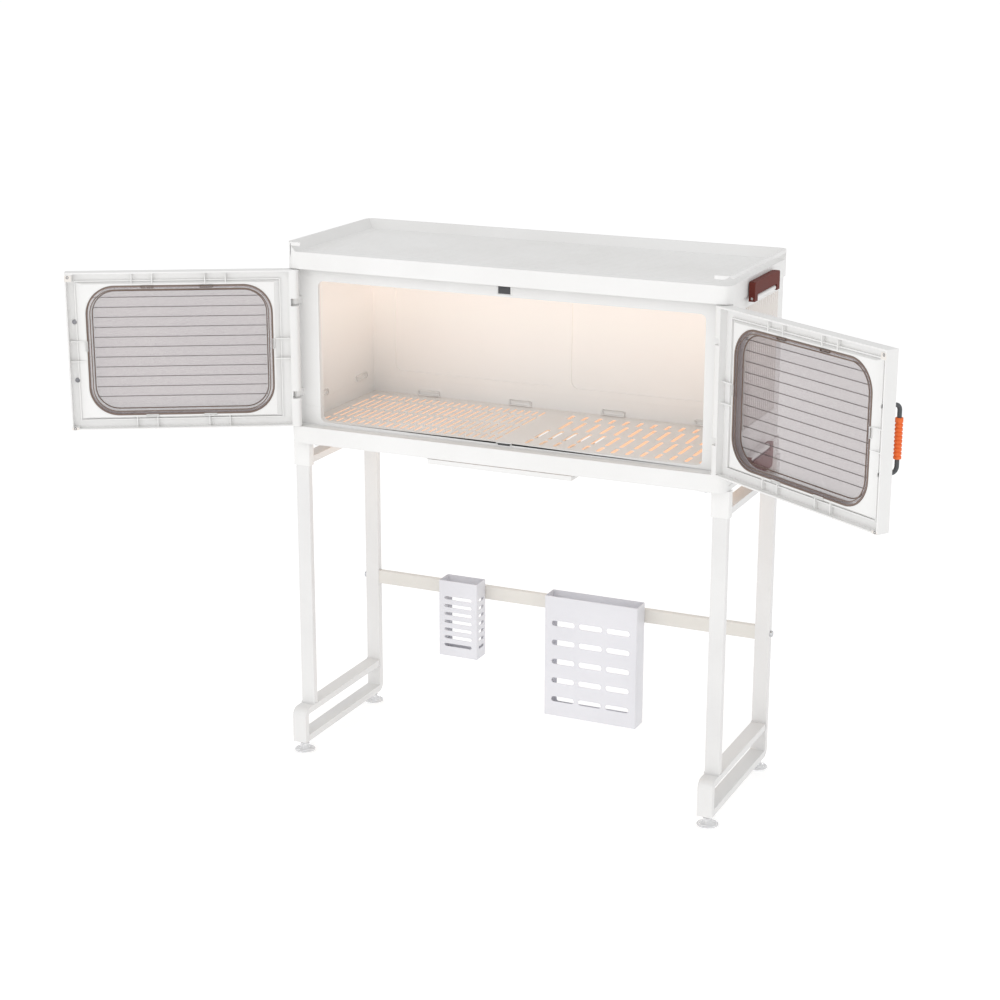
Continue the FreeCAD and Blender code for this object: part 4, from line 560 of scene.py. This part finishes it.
for level, tip in (("top", 1), ("bottom", -1)):
    for side, sign in TWO_SIDES:
        moulded(f"{level}_{side}_latch", f"{level}_{side}_hook", latch_brown, 0.0009)
        low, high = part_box(f"{level}_{side}_latch")
        outer = max(abs(low.x), abs(high.x)) - CHEEK_IN
        span_x = sorted((sign * outer, sign * (outer - CHEEK_DEEP)))
        span_z = ((low.z + HINGE_END, high.z - TOP_TIP) if tip > 0
                  else (low.z + BOTTOM_TIP, high.z - HINGE_END))
        for end, start in (("front", low.y + CHEEK_IN), ("rear", high.y - CHEEK_IN - CHEEK_THICK)):
            closed = cheek(f"{level}_{side}_latch_{end}_cheek", Vector((span_x[0], start, span_z[0])),
                           Vector((span_x[1], start + CHEEK_THICK, span_z[1])), tip, sign)
            dress(closed, latch_brown, f"{level}_{side}_latch_body", 0.0005)
moulded("latch_bars", "latch_hinge_bars", bar_white, 0.0006)

# Rear rail: a flat cream-coated tube between the rear legs, held at each end by a bolt into a plug.
rail_cream, _ = finish("rail_cream_coat", (0.70, 0.68, 0.64), (0.74, 0.72, 0.68), 0.34, 900, 0.0002)
moulded("rear_rail", "rear_flat_rail", rail_cream, 0.0012, 3)
moulded("rear_rail_bolts", "rail_bolts", steel, 0.0006)

# Hanging baskets: folded and coated sheet steel, slotted to drain, hooked over the rear rail.
basket_grey, _ = finish("basket_lavender_coat", (0.70, 0.70, 0.735), (0.74, 0.74, 0.775), 0.40, 1000, 0.0002)
for node in ("utensil_basket", "board_basket"):
    moulded(node, f"{node}_sheet", basket_grey, 0.0003)

# Drip tray: a shallow white pull-out tray on two runners below the drain.
drip_white, _ = finish("drip_tray_white", PLASTIC_DARK, PLASTIC_LIGHT, 0.42, 1100, 0.0002)
moulded("drip_tray", "pull_out_drip_tray", drip_white, 0.0007)
moulded("drip_tray_runners", "drip_tray_runner_pair", drip_white, 0.0005)

# Studio: a pale floor, a bright even surround and four large soft lamps.
bpy.ops.object.select_all(action="DESELECT")
bpy.ops.mesh.primitive_plane_add(size=400, location=(0, 0, -0.0005))
floor = bpy.context.object
floor.name = "studio_floor"
floor_paint, floor_shader = finish("studio_floor_paint", (0.93, 0.93, 0.93), (0.95, 0.95, 0.95),
                                   0.8, 40, 0.0001, 2)
floor.data.materials.append(floor_paint)
floor_shader.inputs["Emission Color"].default_value = (1.0, 1.0, 1.0, 1.0)
floor_shader.inputs["Emission Strength"].default_value = 0.27
surround = bpy.data.worlds.new("studio_surround")
surround.use_nodes = True
surround.node_tree.nodes["Background"].inputs["Color"].default_value = (1.0, 1.0, 1.0, 1.0)
surround.node_tree.nodes["Background"].inputs["Strength"].default_value = 0.82
bpy.context.scene.world = surround
for name, place, aim, width, watts in (
        ("key_lamp", (-2.0, -3.6, 2.4), (0, 0.1, 0.7), 2.6, 22),
        ("front_lamp", (0.5, -4.0, 1.0), (0, 0.1, 0.7), 2.6, 18),
        ("fill_lamp", (3.2, -2.2, 1.6), (0, 0.1, 0.6), 2.4, 5),
        ("top_lamp", (0.0, 0.5, 3.6), (0, 0.1, 0.6), 3.0, 5)):
    bulb = bpy.data.lights.new(name, "AREA")
    bulb.shape = "SQUARE"
    bulb.size = width
    bulb.energy = watts
    lamp = bpy.data.objects.new(name, bulb)
    bpy.context.scene.collection.objects.link(lamp)
    lamp.location = place
    lamp.rotation_euler = (Vector(aim) - Vector(place)).to_track_quat("-Z", "Y").to_euler()
bpy.context.scene.view_settings.view_transform = "Standard"

# Camera: above and to the right of the open front, with a long lens, aimed by its three turns.
YAW, PITCH, ROLL = 24.468, 16.130, 0.118
lens = bpy.data.cameras.new("view_camera")
lens.lens = 76.424
lens.sensor_width = 36.0
lens.clip_end = 600.0
camera = bpy.data.objects.new("view_camera", lens)
bpy.context.scene.collection.objects.link(camera)
camera.location = (1.43006, -3.17578, 1.51826)
camera.rotation_mode = "QUATERNION"
camera.rotation_quaternion = (Quaternion((0, 0, 1), math.radians(YAW))
                              @ Quaternion((1, 0, 0), math.radians(90 - PITCH))
                              @ Quaternion((0, 0, 1), math.radians(ROLL)))
bpy.context.scene.camera = camera
